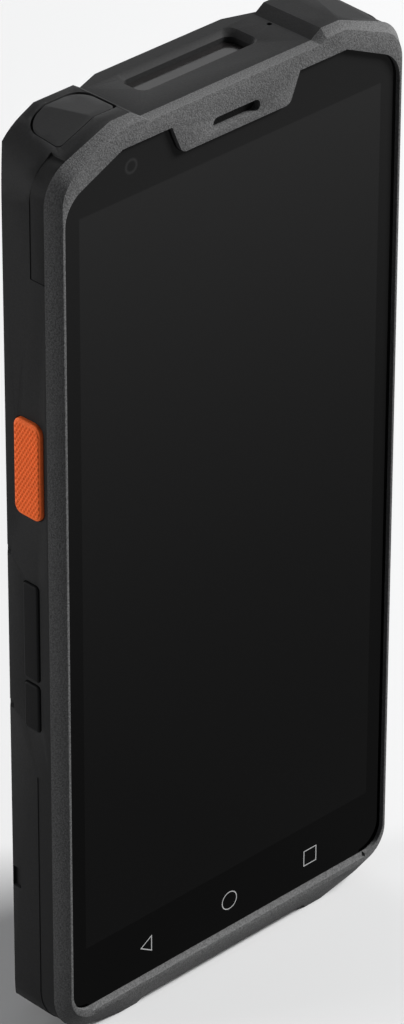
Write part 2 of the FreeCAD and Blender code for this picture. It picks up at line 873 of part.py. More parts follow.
def frame_screws():
    """Places of the screws that hold the midframe to the front frame, as (x, z)."""
    return [("%s * upper_frame_screw_offset" % side, "upper_frame_screw_height") for side in ("1", "-1")] + [
        ("%s * lower_frame_screw_offset" % side, "lower_frame_screw_height") for side in ("1", "-1")]


def make_glass_and_display():
    keep(prism("cover_glass", "front", [glass_outline("0")], "glass_y", "glass_back_y"))
    inside = rectangle(("-(opening_half + glass_gap)", "opening_half + glass_gap"),
                       ("opening_foot - glass_gap", "opening_top + glass_gap"))
    ring = prism("glass_adhesive", "front", [glass_outline("adhesive_margin")], "glass_back_y", "shelf_y")
    pocket(ring, "front", [inside], "glass_back_y", "shelf_y")
    pocket(ring, "front", [("-selfie_offset", "selfie_height", "selfie_radius + chip_gap * 4")],
           "glass_back_y", "shelf_y")
    keep(ring)
    keep(prism("display_panel", "front",
               [rectangle(("-panel_half", "panel_half"), ("panel_foot", "panel_top"))],
               "glass_back_y", "panel_back_y"))


# Midframe and its screws


def mirrored_places(offset, *heights):
    return [("%s * %s" % (side, offset), height) for side in ("1", "-1") for height in heights]


def housing_screws():
    return (mirrored_places("upper_screw_offset", "upper_screw_height")
            + mirrored_places("lower_screw_offset", "lower_screw_height"))


def board_screws():
    return (mirrored_places("board_screw_offset", "board_screw_low", "board_screw_high")
            + mirrored_places("foot_board_screw_offset", "foot_board_screw_height"))


def make_midframe():
    outer = "inner_half - chassis_inset"
    inner = "tub_half - chassis_inset / 2"
    plate = prism("midframe_plate", "front", [symmetric([
        (outer, "chassis_foot", "bottom_corner_radius - wall"),
        (outer, "key_zone_foot"),
        (inner, "key_zone_foot"),
        (inner, "key_zone_top"),
        (outer, "key_zone_top"),
        (outer, "chassis_top", "chassis_radius"),
    ])], "tongue_y", "chassis_y")
    bosses = [cylinder("midframe_post", "y", place, "post_radius", "chassis_y", "boss_y")
              for place in housing_screws()]
    bosses += [cylinder("midframe_boss", "y", place, "small_boss_radius", "chassis_y", "board_y")
               for place in board_screws()]
    depth = ("tongue_y - face_overrun", "boss_y + face_overrun")
    holes = [cylinder("midframe_hole", "y", place, "screw_radius + screw_fit", *depth)
             for place in housing_screws()]
    holes += [cylinder("midframe_small_hole", "y", place, "small_screw_radius + screw_fit", *depth)
              for place in board_screws() + frame_screws()]
    selfie = box("midframe_camera_gap", around("-selfie_offset", "selfie_base_width / 2 + receiver_gap"), depth,
                 ("selfie_height - selfie_base_height / 2 - receiver_gap", "chassis_top + face_overrun"))
    slot = box("midframe_flex_slot", around("0", "display_flex_half_width + receiver_gap * 2"), depth,
               ("panel_foot - panel_end_gap", "panel_foot + panel_end_gap / 2"))
    keep(cut("midframe", join("midframe_blank", plate, *bosses), selfie, slot, *holes))


def screw(label, place, shank, start, head, radius, height):
    """Screw along Y with its head at the back and a round drive in it."""
    parts = [cylinder(label + "_shank", "y", place, shank, start, head),
             cylinder(label + "_head", "y", place, radius, head, "%s + %s" % (head, height))]
    drive = cylinder(label + "_drive", "y", place, "(%s) * screw_drive_share" % radius,
                     "%s + %s / 2" % (head, height), "%s + %s + face_overrun" % (head, height))
    return cut(label, join(label + "_blank", *parts), drive)


def make_screws():
    long_screws = [screw("long_screw", place, "screw_radius", "tongue_y + face_overrun",
                         "rear_y - screw_head_sink", "screw_head_radius", "screw_head_height")
                   for place in housing_screws()]
    keep(group("housing_screws", *long_screws))
    short_screws = [screw("short_screw", place, "small_screw_radius", "tongue_y + face_overrun",
                          "board_back_y", "small_head_radius", "small_head_height")
                    for place in board_screws()]
    keep(group("board_screws", *short_screws))
    flat_screws = [screw("flat_screw", place, "small_screw_radius", "tongue_y - frame_screw_depth + mount_gap",
                         "chassis_y", "small_head_radius", "small_head_height")
                   for place in frame_screws()]
    keep(group("frame_screws", *flat_screws))


# Rear housing


def seal_ring(label, margin):
    """Ring in the parting face that follows the inner outline; the margin widens it."""
    return prism(label, "front", [inner_outline("seal_inset - (%s)" % margin),
                                  inner_outline("seal_inset + seal_width + (%s)" % margin)],
                 "parting_y", "parting_y + seal_depth")


def span(side, near, far):
    """Start and end along X of something that lies between two distances from the middle."""
    if side == "right":
        return near, far
    return "-(%s)" % far, "-(%s)" % near


def shell_solid(label, inset):
    body = new_body(label)
    loft(body, "front", "parting_y", shell_outline(inset, "front"), "rear_y", shell_outline(inset, "rear"))
    return body


def flap_outline(gap, shift="0"):
    """Plan of the jack cover, straight at the front and round at the back."""
    outer = "-(flap_outer + %s)" % gap
    inner = "-(flap_inner - %s - (%s))" % (gap, shift)
    near = "front + flap_front - %s" % gap
    far = "front + flap_back + %s + (%s) / 2" % (gap, shift)
    return [(outer, near, "flap_corner"), (inner, near, "flap_corner"), (inner, far, "flap_round"),
            (outer, far, "flap_round")]


KEYS = {
    "scan_key_right": ("right", "scan_key_height", "scan_key_width", "scan_key_length", "scan_key_corner"),
    "power_key": ("right", "power_key_height", "small_key_width", "power_key_length", "key_corner_radius"),
    "scan_key_left": ("left", "scan_key_height", "scan_key_width", "scan_key_length", "scan_key_corner"),
    "volume_rocker": ("left", "volume_key_height", "small_key_width", "volume_key_length",
                      "key_corner_radius"),
    "function_key": ("left", "function_key_height", "small_key_width", "function_key_length",
                     "key_corner_radius"),
}


def key_hole(name):
    side, height, width, length, corner = KEYS[name]
    outline = rectangle(around("key_y", "%s / 2 + key_gap" % width), around(height, "%s / 2 + key_gap" % length),
                        "%s + key_gap" % corner)
    return prism(name + "_hole", "side", [outline],
                 *span(side, "inner_half - key_zone_sink", "half_width + face_overrun"))


def band_tool():
    """Shallow band beside the front frame, at the upper corners and along the lower sides."""
    depth = ("parting_y", "parting_y + band_depth")
    blanks = []
    for side in ("right", "left"):
        upper = span(side, "upper_band_end", "half_width + face_overrun")
        lower = span(side, "lower_band_reach", "half_width + face_overrun")
        blanks.append(box("upper_band", upper, depth, ("upper_band_start", "body_length + face_overrun")))
        blanks.append(box("lower_band", lower, depth, ("-face_overrun", "lower_band_end")))
    core = prism("band_core", "front", [shell_outline("band_recess", "front")], "parting_y - face_overrun",
                 "parting_y + band_depth + face_overrun")
    return cut("band_tool", join("band_blank", *blanks), core)


def bevel_tools():
    """Flat bevels along both rear side edges and along the rear edge of the base."""
    tools = []
    for side in ("1", "-1"):
        corners = [("%s * (half_width + face_overrun)" % side, "rear_y - rear_bevel - face_overrun"),
                   ("%s * (half_width + face_overrun)" % side, "rear_y + face_overrun"),
                   ("%s * (half_width - rear_bevel - face_overrun)" % side, "rear_y + face_overrun")]
        if side == "-1":
            corners.reverse()
        tools.append(prism("side_bevel", "top", [corners], "-face_overrun", "body_length + face_overrun"))
    foot = [("rear_y - foot_bevel", "-face_overrun"), ("rear_y + face_overrun", "-face_overrun"),
            ("rear_y + face_overrun", "foot_bevel_rise"), ("rear_y", "foot_bevel_rise"),
            ("rear_y - foot_bevel", "0")]
    tools.append(prism("foot_bevel_tool", "side", [foot], "-half_width", "half_width"))
    return tools


def cavity_tools():
    """Hollows for the boards, for the thicker parts above the battery and for the scan engine."""
    upper_half = "inner_half - upper_cavity_inset"
    return [
        prism("cavity", "front", [inner_outline("wall")], "parting_y", "floor_y"),
        box("upper_cavity", ("-(%s)" % upper_half, upper_half), ("floor_y - face_overrun", "upper_floor_y"),
            ("cover_top + wall", "window_ledge_z")),
        box("bump_cavity", ("-bump_cavity_half_width", "bump_cavity_half_width"),
            ("floor_y - face_overrun", "bump_floor_y"), ("bump_foot + bump_ramp + wall / 2", "window_ledge_z")),
    ]


def inner_solids():
    """Battery tub, screw posts and the blocks round the scan window and the headphone socket."""
    window_half = "window_half_length + window_boss_wall"
    window_reach = "window_half_width + window_boss_wall"
    parts = [
        box("battery_tub", ("-tub_half", "tub_half"), ("tub_y", "floor_y + face_overrun"),
            ("bay_foot - bay_wall", "bay_top + bay_wall")),
        box("window_boss", ("-(%s)" % window_half, window_half), around("scan_y", window_reach),
            ("window_ledge_z", "ceiling_z + face_overrun")),
        box("jack_boss", around("-jack_offset", "jack_boss_half_width"),
            ("jack_y - jack_well_radius - wall / 4", "floor_y + face_overrun"),
            ("jack_boss_foot", "ceiling_z + face_overrun")),
    ]
    for place in housing_screws():
        parts.append(cylinder("housing_post", "y", place, "post_radius", "boss_y + mount_gap",
                              "upper_floor_y + mount_gap"))
    return parts


def window_tools():
    """Recess for the scan window, its ledge, the way through and the bevel on the rear edge."""
    recess = rectangle(around("0", "window_half_length"), around("scan_y", "window_half_width"),
                       "window_corner_radius")
    through = rectangle(around("0", "window_half_length - window_ledge"),
                        around("scan_y", "window_half_width - window_ledge"), "window_corner_radius / 2")
    near = "scan_y - window_half_width"
    far = "scan_y + window_half_width"
    bevel = new_body("window_bevel_tool")
    loft(bevel, "top", "top_z - window_bevel",
         rectangle(around("0", "window_half_length"), (near, far), "window_corner_radius"), "top_z",
         rectangle(around("0", "window_half_length + window_bevel"), (near, far + " + window_bevel"),
                   "window_corner_radius"))
    return [
        bevel,
        prism("window_recess", "top", [recess], "window_seat", "body_length"),
        prism("window_way", "top", [through], "window_ledge_z - face_overrun", "window_seat + face_overrun"),
    ]


def jack_tools():
    """Recess for the rubber cover, wider where a fingernail goes in, and the well for a plug."""
    floor = shell_solid("flap_floor", "flap_thickness + flap_gap")
    nail_floor = shell_solid("nail_floor", "nail_depth")
    low, high = "jack_boss_foot", "body_length + face_overrun"
    recess = prism("flap_recess_blank", "top", [flap_outline("flap_gap")], low, high)
    nail = prism("nail_blank", "top", [flap_outline("flap_gap", "nail_gap")], low, high)
    return [
        cut("flap_recess", recess, floor),
        cut("nail_recess", nail, nail_floor),
        cylinder("jack_well", "z", ("-jack_offset", "jack_y"), "jack_well_radius",
                 "jack_boss_foot - face_overrun", "body_length"),
    ]


def rear_tools():
    """Cuts from the back: cover seat, battery bay, screw heads, camera and lamp."""
    back = "crest_y + face_overrun"
    seat = rectangle(("-(cover_half_width + cover_gap)", "cover_half_width + cover_gap"),
                     ("cover_foot - cover_gap", "cover_top + cover_gap"), "cover_radius + cover_gap")
    tools = [
        prism("cover_seat", "front", [seat], "seat_y", back),
        box("battery_bay", ("-bay_half", "bay_half"), ("bay_y", back), ("bay_foot", "bay_top")),
        box("connector_gap", ("contact_left - bay_gap", "contact_right + bay_gap"),
            ("bay_y", "board_back_y + contact_height + bay_gap * 2"), ("bay_top - bay_wall", "bay_top + wall")),
        cylinder("camera_recess", "y", ("-camera_offset", "camera_height"), "camera_ring_radius + screw_fit",
                 "camera_ring_y - camera_ring_thickness", back),
        cylinder("camera_hole", "y", ("-camera_offset", "camera_height"), "camera_hole_radius",
                 "bump_floor_y - face_overrun", back),
        cylinder("flash_recess", "y", ("flash_offset", "camera_height"), "flash_radius + screw_fit",
                 "camera_ring_y - flash_flange", back),
        cylinder("flash_hole", "y", ("flash_offset", "camera_height"), "flash_stem_radius + mount_gap",
                 "bump_floor_y - face_overrun", back),
    ]
    for place in housing_screws():
        tools.append(cylinder("post_hole", "y", place, "screw_hole_radius", "boss_y", back))
        tools.append(cylinder("post_counterbore", "y", place, "screw_head_radius + mount_gap * 2",
                              "rear_y - screw_head_sink", back))
    for x, z in cover_tabs("cover_gap"):
        tools.append(box("tab_slot", x, ("seat_y - tab_depth - cover_gap", "seat_y + cover_gap"), z))
    return tools


def cover_tabs(gap):
    """Spans in x and z of the tabs that locate the battery cover, widened by the gap."""
    spans = []
    for side in ("1", "-1"):
        x = around("%s * tab_spacing / 2" % side, "tab_length / 2 + %s" % gap)
        low, high = "cover_foot + tab_inset", "cover_top - tab_inset"
        spans.append((x, ("%s - %s" % (low, gap), "%s + tab_width + %s" % (low, gap))))
        spans.append((x, ("%s - tab_width - %s" % (high, gap), "%s + %s" % (high, gap))))
    return spans


def end_tools():
    """Openings in the base and the top: socket, loudspeaker holes and microphone holes."""
    socket = usb_outline("usb_gap")
    below, above = "-face_overrun", "foot_z + mount_gap"
    tools = [
        prism("usb_slot", "top", [socket], below, above),
        cylinder("foot_mic_hole", "z", ("foot_mic_offset", "port_y"), "mic_hole_radius", below, above),
        cylinder("top_mic_hole", "z", ("top_mic_offset", "front + top_mic_depth"), "mic_hole_radius",
                 "ceiling_z - mount_gap", "body_length"),
    ]
    for number in range(SPEAKER_HOLES):
        shift = number - (SPEAKER_HOLES - 1) / 2
        tools.append(cylinder("speaker_hole", "z",
                              ("-speaker_offset + %s * speaker_hole_pitch" % shift, "port_y"),
                              "speaker_hole_radius", below, above))
    return tools


def side_tools():
    """Hand-strap recesses and small nicks along both rear side edges."""
    tools = []
    for side in ("right", "left"):
        x = span(side, "half_width - strap_recess_depth", "half_width + face_overrun")
        tools.append(box("strap_recess", x, ("floor_y - strap_recess_width", "floor_y"),
                         around("strap_recess_height", "strap_recess_length / 2")))
        x = span(side, "half_width - nick_depth", "half_width + face_overrun")
        for height in ("nick_height", "nick_height - nick_spacing"):
            tools.append(box("nick", x, ("floor_y - nick_depth", "rear_y + face_overrun"),
                             around(height, "nick_length / 2")))
    return tools


def make_rear_housing():
    shell = shell_solid("housing_shell", "0")
    bump = new_body("housing_bump")
    foot = rectangle(around("0", "bump_half_width"), ("bump_foot", "top_z"))
    crest = rectangle(around("0", "bump_crest_half_width"), ("bump_foot + bump_ramp", "top_z - bump_top_bevel"))
    loft(bump, "front", "rear_y", foot, "crest_y", crest)
    hollow = cut("housing_hollow", join("housing_outer", shell, bump), *cavity_tools())
    solid = join("housing_solid", hollow, *inner_solids())
    tools = [seal_ring("seal_groove", "screw_fit"), band_tool()]
    tools += bevel_tools() + window_tools() + jack_tools() + rear_tools() + end_tools() + side_tools()
    tools += [key_hole(name) for name in KEYS]
    tools += dip_tools("housing")
    keep(cut("rear_housing", solid, *tools))
    keep(seal_ring("housing_seal", "0"))


def make_jack_cover():
    blank = prism("flap_blank", "top", [flap_outline("0")], "jack_boss_foot", "body_length + face_overrun")
    plate = cut("flap_plate", blank, shell_solid("flap_inner_face", "flap_thickness"))
    stem = cylinder("flap_stem", "z", ("-jack_offset", "jack_y"), "stem_radius",
                    "body_length - flap_thickness - stem_length", "body_length")
    cover = doc.addObject("Part::Common", "jack_cover")
    cover.Base = join("flap_solid", plate, stem)
    cover.Tool = shell_solid("flap_outer_face", "0")
    keep(cover)


# Battery and its cover


def make_battery():
    outline = rectangle(("-battery_half", "battery_half"), ("battery_y", "battery_y + battery_thickness"),
                        "battery_edge_radius")
    keep(prism("battery_pack", "top", [outline], "battery_foot", "battery_top"))
    plate = prism("cover_plate", "front", [rectangle(("-cover_half_width", "cover_half_width"),
                                                     ("cover_foot", "cover_top"), "cover_radius")],
                  "seat_y", "rear_y")
    tabs = [box("cover_tab", x, ("seat_y - tab_depth", "seat_y"), z) for x, z in cover_tabs("0")]
    keep(join("battery_cover", plate, *tabs))
    coil_z = "(battery_foot + battery_top) / 2"
    outer = rectangle(around("0", "coil_half_width"), around(coil_z, "coil_half_height"), "coil_track")
    inner = rectangle(around("0", "coil_half_width - coil_track"), around(coil_z, "coil_half_height - coil_track"),
                      "coil_track / 2")
    keep(prism("contactless_coil", "front", [outer, inner], "seat_y - coil_thickness", "seat_y"))
    keep(box("battery_connector", ("contact_left", "contact_right"),
             ("board_back_y", "board_back_y + contact_height"), ("battery_top + contact_gap", "contact_top")))


# Boards


def on_board(label, x, z, height, start="board_back_y"):
    """Plain block standing on the back of a board."""
    return box(label, x, (start, "%s + %s" % (start, height)), z)


def can(label, x, z):
    """Folded shield can, open towards the board."""
    outer = on_board(label + "_outer", x, z, "shield_height")
    inner = box(label + "_inner", ("%s + shield_wall" % x[0], "%s - shield_wall" % x[1]),
                ("board_back_y - shield_wall", "board_back_y + shield_height - shield_wall"),
                ("%s + shield_wall" % z[0], "%s - shield_wall" % z[1]))
    return cut(label, outer, inner)


def drilled(label, plate, screws):
    holes = [cylinder(label + "_hole", "y", place, "small_screw_radius + mount_gap",
                      "board_y - face_overrun", "board_back_y + face_overrun") for place in screws]
    return cut(label, plate, *holes)


def make_boards():
    outline = symmetric([
        ("board_half_width", "board_foot", "board_radius"), ("board_half_width", "board_shoulder", "board_radius"),
        ("board_neck_half_width", "board_shoulder"), ("board_neck_half_width", "board_top", "board_radius")])
    plate = prism("main_board_plate", "front", [outline], "board_y", "board_back_y")
    keep(drilled("main_board", plate, board_screws()[:4]))
    outline = rectangle(("-foot_board_half_width", "foot_board_half_width"), ("foot_board_foot", "foot_board_top"),
                        "board_radius")
    plate = prism("sub_board_plate", "front", [outline], "board_y", "board_back_y")
    keep(drilled("sub_board", plate, board_screws()[4:]))
    keep(can("processor_shield", ("processor_left", "processor_left + processor_width"),
             ("board_foot + processor_rise", "board_foot + processor_rise + processor_length")))
    keep(can("radio_shield", ("radio_left", "radio_left + radio_width"),
             ("board_shoulder - radio_drop - radio_length", "board_shoulder - radio_drop")))
    keep(on_board("card_socket", ("card_left", "card_left + card_width"),
                  ("board_foot + card_rise", "board_foot + card_rise + card_length"), "card_height"))


# Flexible links


def make_flexes():
    strip = box("link_strip", ("link_left", "link_right"), ("chassis_y", "chassis_y + flex_thickness"),
                ("link_foot", "link_top"))
    plugs = [box("link_plug", ("link_left + flex_thickness", "link_right - flex_thickness"),
                 ("chassis_y + flex_thickness", "board_y"), height)
             for height in (("link_foot", "link_foot + plug_length"), ("link_top - plug_length", "link_top"))]
    keep(join("board_link_flex", strip, *plugs))
    near, far = "front + display_flex_start", "board_y - display_flex_gap"
    low, high = "panel_foot - display_flex_drop", "panel_foot + display_flex_rise"
    ribbon = [(near, "panel_foot"), (near, low), (far, low), (far, high), (far + " - flex_thickness", high),
              (far + " - flex_thickness", low + " + flex_thickness"),
              (near + " + flex_thickness", low + " + flex_thickness"), (near + " + flex_thickness", "panel_foot")]
    ribbon = prism("display_ribbon", "side", [ribbon], "-display_flex_half_width", "display_flex_half_width")
    plug = box("display_plug", around("0", "display_plug_half_width"), (far, "board_y"),
               (high + " - plug_length", high))
    keep(join("display_flex", ribbon, plug))


# Scan engine, its window and its bracket


def make_scan_engine():
    lens_foot = "engine_top + engine_lens_rise - engine_lens_length"
    lamp_x = around("engine_lamp_offset", "engine_lamp_length / 2")
    lamp_y = around("scan_y", "engine_lamp_width / 2")
    block = box("engine_block", around("0", "engine_half_length"), ("engine_y", "engine_y + engine_depth"),
                ("engine_foot", "engine_top"))
    bore = cylinder("engine_bore", "z", ("-engine_lens_offset", "scan_y"), "engine_lens_radius + screw_fit",
                    lens_foot, "engine_top + face_overrun")
    niche = box("engine_niche", around("engine_lamp_offset", "engine_lamp_length / 2 + screw_fit"),
                around("scan_y", "engine_lamp_width / 2 + screw_fit"),
                ("engine_top - engine_lamp_depth", "engine_top + face_overrun"))
    keep(cut("scan_engine_body", block, bore, niche))
    keep(cylinder("scan_engine_lens", "z", ("-engine_lens_offset", "scan_y"), "engine_lens_radius", lens_foot,
                  "engine_top + engine_lens_rise"))
    keep(box("scan_engine_lamp", lamp_x, lamp_y,
             ("engine_top - engine_lamp_depth", "engine_top + engine_lens_rise / 3")))
    plate = box("bracket_plate", around("0", "engine_half_length + bracket_margin"),
                ("board_back_y", "board_back_y + bracket_thickness"), ("engine_foot - bracket_foot", "engine_top"))
    ears = [box("bracket_ear", span(side, "engine_half_length + chip_gap",
                                    "engine_half_length + chip_gap + bracket_thickness"),
                ("board_back_y", "engine_y + engine_depth / 2"),
                ("engine_foot + bracket_margin", "engine_top - bracket_margin"))
            for side in ("right", "left")]
    keep(join("scan_engine_bracket", plate, *ears))
    plug = box("scan_plug", around("0", "display_plug_half_width"), ("board_back_y", "scan_flex_y"),
               ("scan_plug_foot", "scan_plug_foot + plug_length / 2"))
    strip = box("scan_strip", around("0", "display_plug_half_width"), ("scan_flex_y", "scan_flex_y + flex_thickness"),
                ("scan_plug_foot", "engine_foot"))
    keep(join("scan_engine_flex", plug, strip))
    pane = rectangle(around("0", "window_half_length - window_gap"),
                     around("scan_y", "window_half_width - window_gap"), "window_corner_radius - window_gap")
    clear = rectangle(around("0", "window_half_length - window_ledge"),
                      around("scan_y", "window_half_width - window_ledge"), "window_corner_radius / 2")
    keep(prism("scan_window", "top", [pane], "window_foot", "window_z"))
    keep(prism("scan_window_seal", "top", [pane, clear], "window_seat", "window_foot"))


# Side keys and their switches


def make_key(name, proud, gap, nib_end, nib_heights):
    """Key with a flange behind the housing wall and one nib for each switch."""
    side, height, width, length, corner = KEYS[name]
    flange_out = "inner_half - %s" % gap
    flange = span(side, flange_out + " - key_flange", flange_out)
    face = "half_width + " + proud
    outline = rectangle(around("key_y", width + " / 2"), around(height, length + " / 2"), corner)
    cap = prism(name + "_cap", "side", [outline], *span(side, flange_out, face))
    reach = value(face)
    round_edges(cap, "key_edge_radius", lambda edge: all(
        math.isclose(abs(vertex.X), reach, abs_tol=1e-6) for vertex in edge.Vertexes))
    parts = [cap, box(name + "_flange", flange, around("key_y", width + " / 2 + key_flange_margin"),
                      around(height, length + " / 2 + key_flange_end"))]
    for place in nib_heights:
        parts.append(cylinder(name + "_nib", "x", ("key_y", place), "key_nib_radius",
                              *span(side, nib_end, flange_out + " - key_flange / 2")))
    return parts


def dome(side, height):
    """Snap dome of a switch, standing towards its key."""
    solid = doc.addObject("Part::Cone", side + "_dome")
    radii = ["dome_radius", "dome_top_radius"]
    if side == "left":
        radii.reverse()
    bind(solid, "Radius1", radii[0])
    bind(solid, "Radius2", radii[1])
    bind(solid, "Height", "dome_height")
    return stand(solid, "x", ("key_y", height), span(side, "dome_in", "dome_out")[0])


def make_keys():
    upper_nib = "volume_key_height + rocker_nib_spacing / 2"
    lower_nib = "volume_key_height - rocker_nib_spacing / 2"
    for name in ("scan_key_left", "scan_key_right"):
        keep(join(name, *make_key(name, "scan_key_proud", "key_seat_gap", "nib_in", ["scan_key_height"])))
    for name in ("function_key", "power_key"):
        keep(join(name, *make_key(name, "small_key_proud", "key_seat_gap", "nib_in", [name + "_height"])))
    rocker = make_key("volume_rocker", "small_key_proud", "rocker_gap", "dome_out + rocker_switch_gap",
                      [upper_nib, lower_nib])
    rocker.append(box("rocker_rib", span("left", "inner_half - rocker_gap", "inner_half - rocker_rib_gap"),
                      around("key_y", "small_key_width / 2 + key_flange_margin"),
                      around("volume_key_height", "rocker_rib_width / 2")))
    keep(join("volume_rocker", *rocker))
    heights = {"left": ["scan_key_height", "function_key_height", upper_nib, lower_nib],
               "right": ["scan_key_height", "power_key_height"]}
    lowest = {"left": "function_key_height - function_key_length / 2",
              "right": "power_key_height - power_key_length / 2"}
    for side in ("left", "right"):
        keep(box(side + "_key_board", span(side, "key_board_in", "dome_in"),
                 around("key_y", "key_board_half_width"),
                 (lowest[side], "scan_key_height + scan_key_length / 2")))
        keep(group(side + "_key_domes", *[dome(side, height) for height in heights[side]]))


# Parts at the top end


def make_top_end():
    keep(box("earpiece_mesh", around("0", "earpiece_slot_length / 2 + mesh_margin"),
             ("front + earpiece_cover", "front + earpiece_cover + mesh_thickness"),
             around("earpiece_height", "earpiece_slot_width / 2 + mesh_margin")))
    receiver_y = "front + earpiece_cover + mesh_thickness"
    keep(box("earpiece_receiver", around("0", "receiver_length / 2"),
             (receiver_y, receiver_y + " + receiver_thickness"),
             around("earpiece_height + receiver_gap", "receiver_width / 2")))
    lens = cylinder("selfie_barrel", "y", ("-selfie_offset", "selfie_height"), "selfie_radius", "shelf_y",
                    "tongue_y")
    base = box("selfie_base", around("-selfie_offset", "selfie_base_width / 2"),
               ("tongue_y", "tongue_y + selfie_base_thickness"), around("selfie_height", "selfie_base_height / 2"))
    keep(join("front_camera", lens, base))
    keep(box("top_microphone", around("top_mic_offset", "mic_length / 2"),
             around("front + top_mic_depth", "mic_width / 2"), ("ceiling_z - mic_height", "ceiling_z")))
    block = box("jack_block", around("-jack_offset", "jack_body_width / 2"),
                around("jack_y", "jack_body_depth / 2"), ("jack_foot", "jack_top"))
    bore = cylinder("jack_bore", "z", ("-jack_offset", "jack_y"), "jack_bore_radius",
                    "jack_top - jack_bore_length", "jack_top + face_overrun")
    keep(cut("audio_jack", block, bore))
    keep(box("wireless_antenna", ("antenna_near", "antenna_far"),
             ("upper_floor_y - antenna_thickness", "upper_floor_y"),
             ("camera_height - antenna_half_height", "camera_height + antenna_half_height")))


def make_rear_camera():
    place = ("-camera_offset", "camera_height")
    base = box("camera_block", around("-camera_offset", "camera_base / 2"),
               ("board_back_y", "board_back_y + camera_base_height"), around("camera_height", "camera_base / 2"))
    barrel = cylinder("camera_barrel", "y", place, "camera_barrel_radius", "board_back_y + camera_base_height / 2",
                      "camera_barrel_y")
    keep(join("rear_camera", base, barrel))
    ring = [("-camera_offset", "camera_height", "camera_ring_radius"),
            ("-camera_offset", "camera_height", "camera_ring_radius - camera_ring_width")]
    keep(prism("rear_camera_ring", "front", ring, "camera_ring_y - camera_ring_thickness", "camera_ring_y"))
    keep(cylinder("rear_camera_window", "y", place, "camera_ring_radius - camera_ring_width - screw_fit",
                  "camera_ring_y - camera_ring_thickness",
                  "camera_ring_y - camera_ring_thickness + camera_window_thickness"))
    place = ("flash_offset", "camera_height")
    flange = cylinder("flash_disc", "y", place, "flash_radius", "camera_ring_y - flash_flange", "camera_ring_y")
    stem = cylinder("flash_stem", "y", place, "flash_stem_radius", "board_back_y + flash_lamp_height + mount_gap * 2",
                    "camera_ring_y - flash_flange / 2")
    keep(join("flash_window", flange, stem))
    keep(on_board("flash_lamp", around("flash_offset", "flash_lamp_width / 2"),
                  around("camera_height", "flash_lamp_width / 2"), "flash_lamp_height"))


# Parts at the bottom end


def make_bottom_end():
    mouth = "foot_dip_depth + usb_sink"
    back = mouth + " + usb_length"
    shell = prism("usb_shell", "top", [usb_outline("0"), usb_outline("-usb_wall")], mouth, back)
    block = prism("usb_block", "top", [usb_outline("-usb_wall / 2")], back + " - usb_back", back)
    tongue = box("usb_tongue", around("0", "usb_tongue_width / 2"), around("port_y", "usb_tongue_height / 2"),
                 (mouth + " + usb_tongue_gap", back + " - usb_back / 2"))
    keep(join("usb_receptacle", shell, block, tongue))
    keep(box("bottom_microphone", around("foot_mic_offset", "mic_length / 2"), around("port_y", "mic_width / 2"),
             ("foot_z", "foot_z + mic_height")))
    keep(box("loudspeaker_mesh", around("-speaker_offset", "speaker_slot_length / 2 + mesh_margin"),
             around("port_y", "speaker_hole_radius + mesh_margin"), ("foot_z", "foot_z + mesh_thickness")))
    body = box("speaker_body", around("-speaker_offset", "speaker_length / 2"),
               ("board_back_y + mount_gap", "board_back_y + mount_gap + speaker_height"),
               ("foot_z + mesh_thickness", "foot_z + mesh_thickness + speaker_reach"))
    horn = box("speaker_horn", around("-speaker_offset", "speaker_slot_length / 2"),
               around("port_y", "speaker_hole_radius"), ("foot_z", "foot_z + mesh_thickness + speaker_horn_depth"))
    keep(cut("loudspeaker", body, horn))
    keep(cylinder("vibration_motor", "y", ("motor_offset", "motor_height"), "motor_radius", "board_back_y",
                  "board_back_y + motor_thickness"))
    keep(box("cellular_antenna", ("foot_antenna_near", "foot_antenna_far"),
             ("floor_y - antenna_thickness", "floor_y"), ("foot_z + mount_gap * 2", "foot_antenna_top")))


def main():
    fill_sheet()
    make_front_frame()
    make_glass_and_display()
    make_midframe()
    make_screws()
    make_rear_housing()
    make_jack_cover()
    make_battery()
    make_boards()
    make_flexes()
    make_scan_engine()
    make_keys()
    make_top_end()
    make_rear_camera()
    make_bottom_end()
    doc.recompute()
    write_parts()


def write_parts():
    for item in doc.Objects:
        if "Invalid" in item.State or "Error" in item.State:
            raise RuntimeError("%s failed: %s" % (item.Label, item.State))
    for node in nodes:
        if node.Shape.isNull() or not node.Shape.isValid():
            raise RuntimeError("%s has no valid shape" % node.Label)
    os.makedirs("parts", exist_ok=True)
    for node in nodes:
        node.Shape.exportStep("parts/%s.step" % node.Label)
        print(node.Label, len(node.Shape.Solids), round(node.Shape.Volume, 2))


main()
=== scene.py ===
"""Looks of a portable barcode data terminal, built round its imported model.

Lengths are in metres, in the model's own frame: X across, Y from the glass to the back, Z up.
Lengths written in millimetres are multiplied by MM.
"""
import json
import math

import bpy
import numpy as np
from mathutils import Matrix, Vector


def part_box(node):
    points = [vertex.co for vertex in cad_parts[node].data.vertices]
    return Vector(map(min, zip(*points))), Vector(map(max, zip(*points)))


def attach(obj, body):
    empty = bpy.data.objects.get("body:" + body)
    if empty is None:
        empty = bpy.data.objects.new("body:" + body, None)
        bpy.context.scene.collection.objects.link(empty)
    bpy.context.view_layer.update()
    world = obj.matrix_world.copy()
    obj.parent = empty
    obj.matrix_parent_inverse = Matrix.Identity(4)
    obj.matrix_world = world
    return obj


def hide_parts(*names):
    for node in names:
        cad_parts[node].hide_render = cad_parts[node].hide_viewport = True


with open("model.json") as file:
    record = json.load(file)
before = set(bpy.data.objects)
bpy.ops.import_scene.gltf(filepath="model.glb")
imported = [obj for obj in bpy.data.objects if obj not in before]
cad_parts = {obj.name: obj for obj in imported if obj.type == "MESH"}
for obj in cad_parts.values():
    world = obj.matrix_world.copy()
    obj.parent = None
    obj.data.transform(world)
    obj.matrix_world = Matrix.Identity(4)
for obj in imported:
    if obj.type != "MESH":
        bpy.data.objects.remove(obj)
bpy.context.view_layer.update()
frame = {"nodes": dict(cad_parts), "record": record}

MM = 0.001
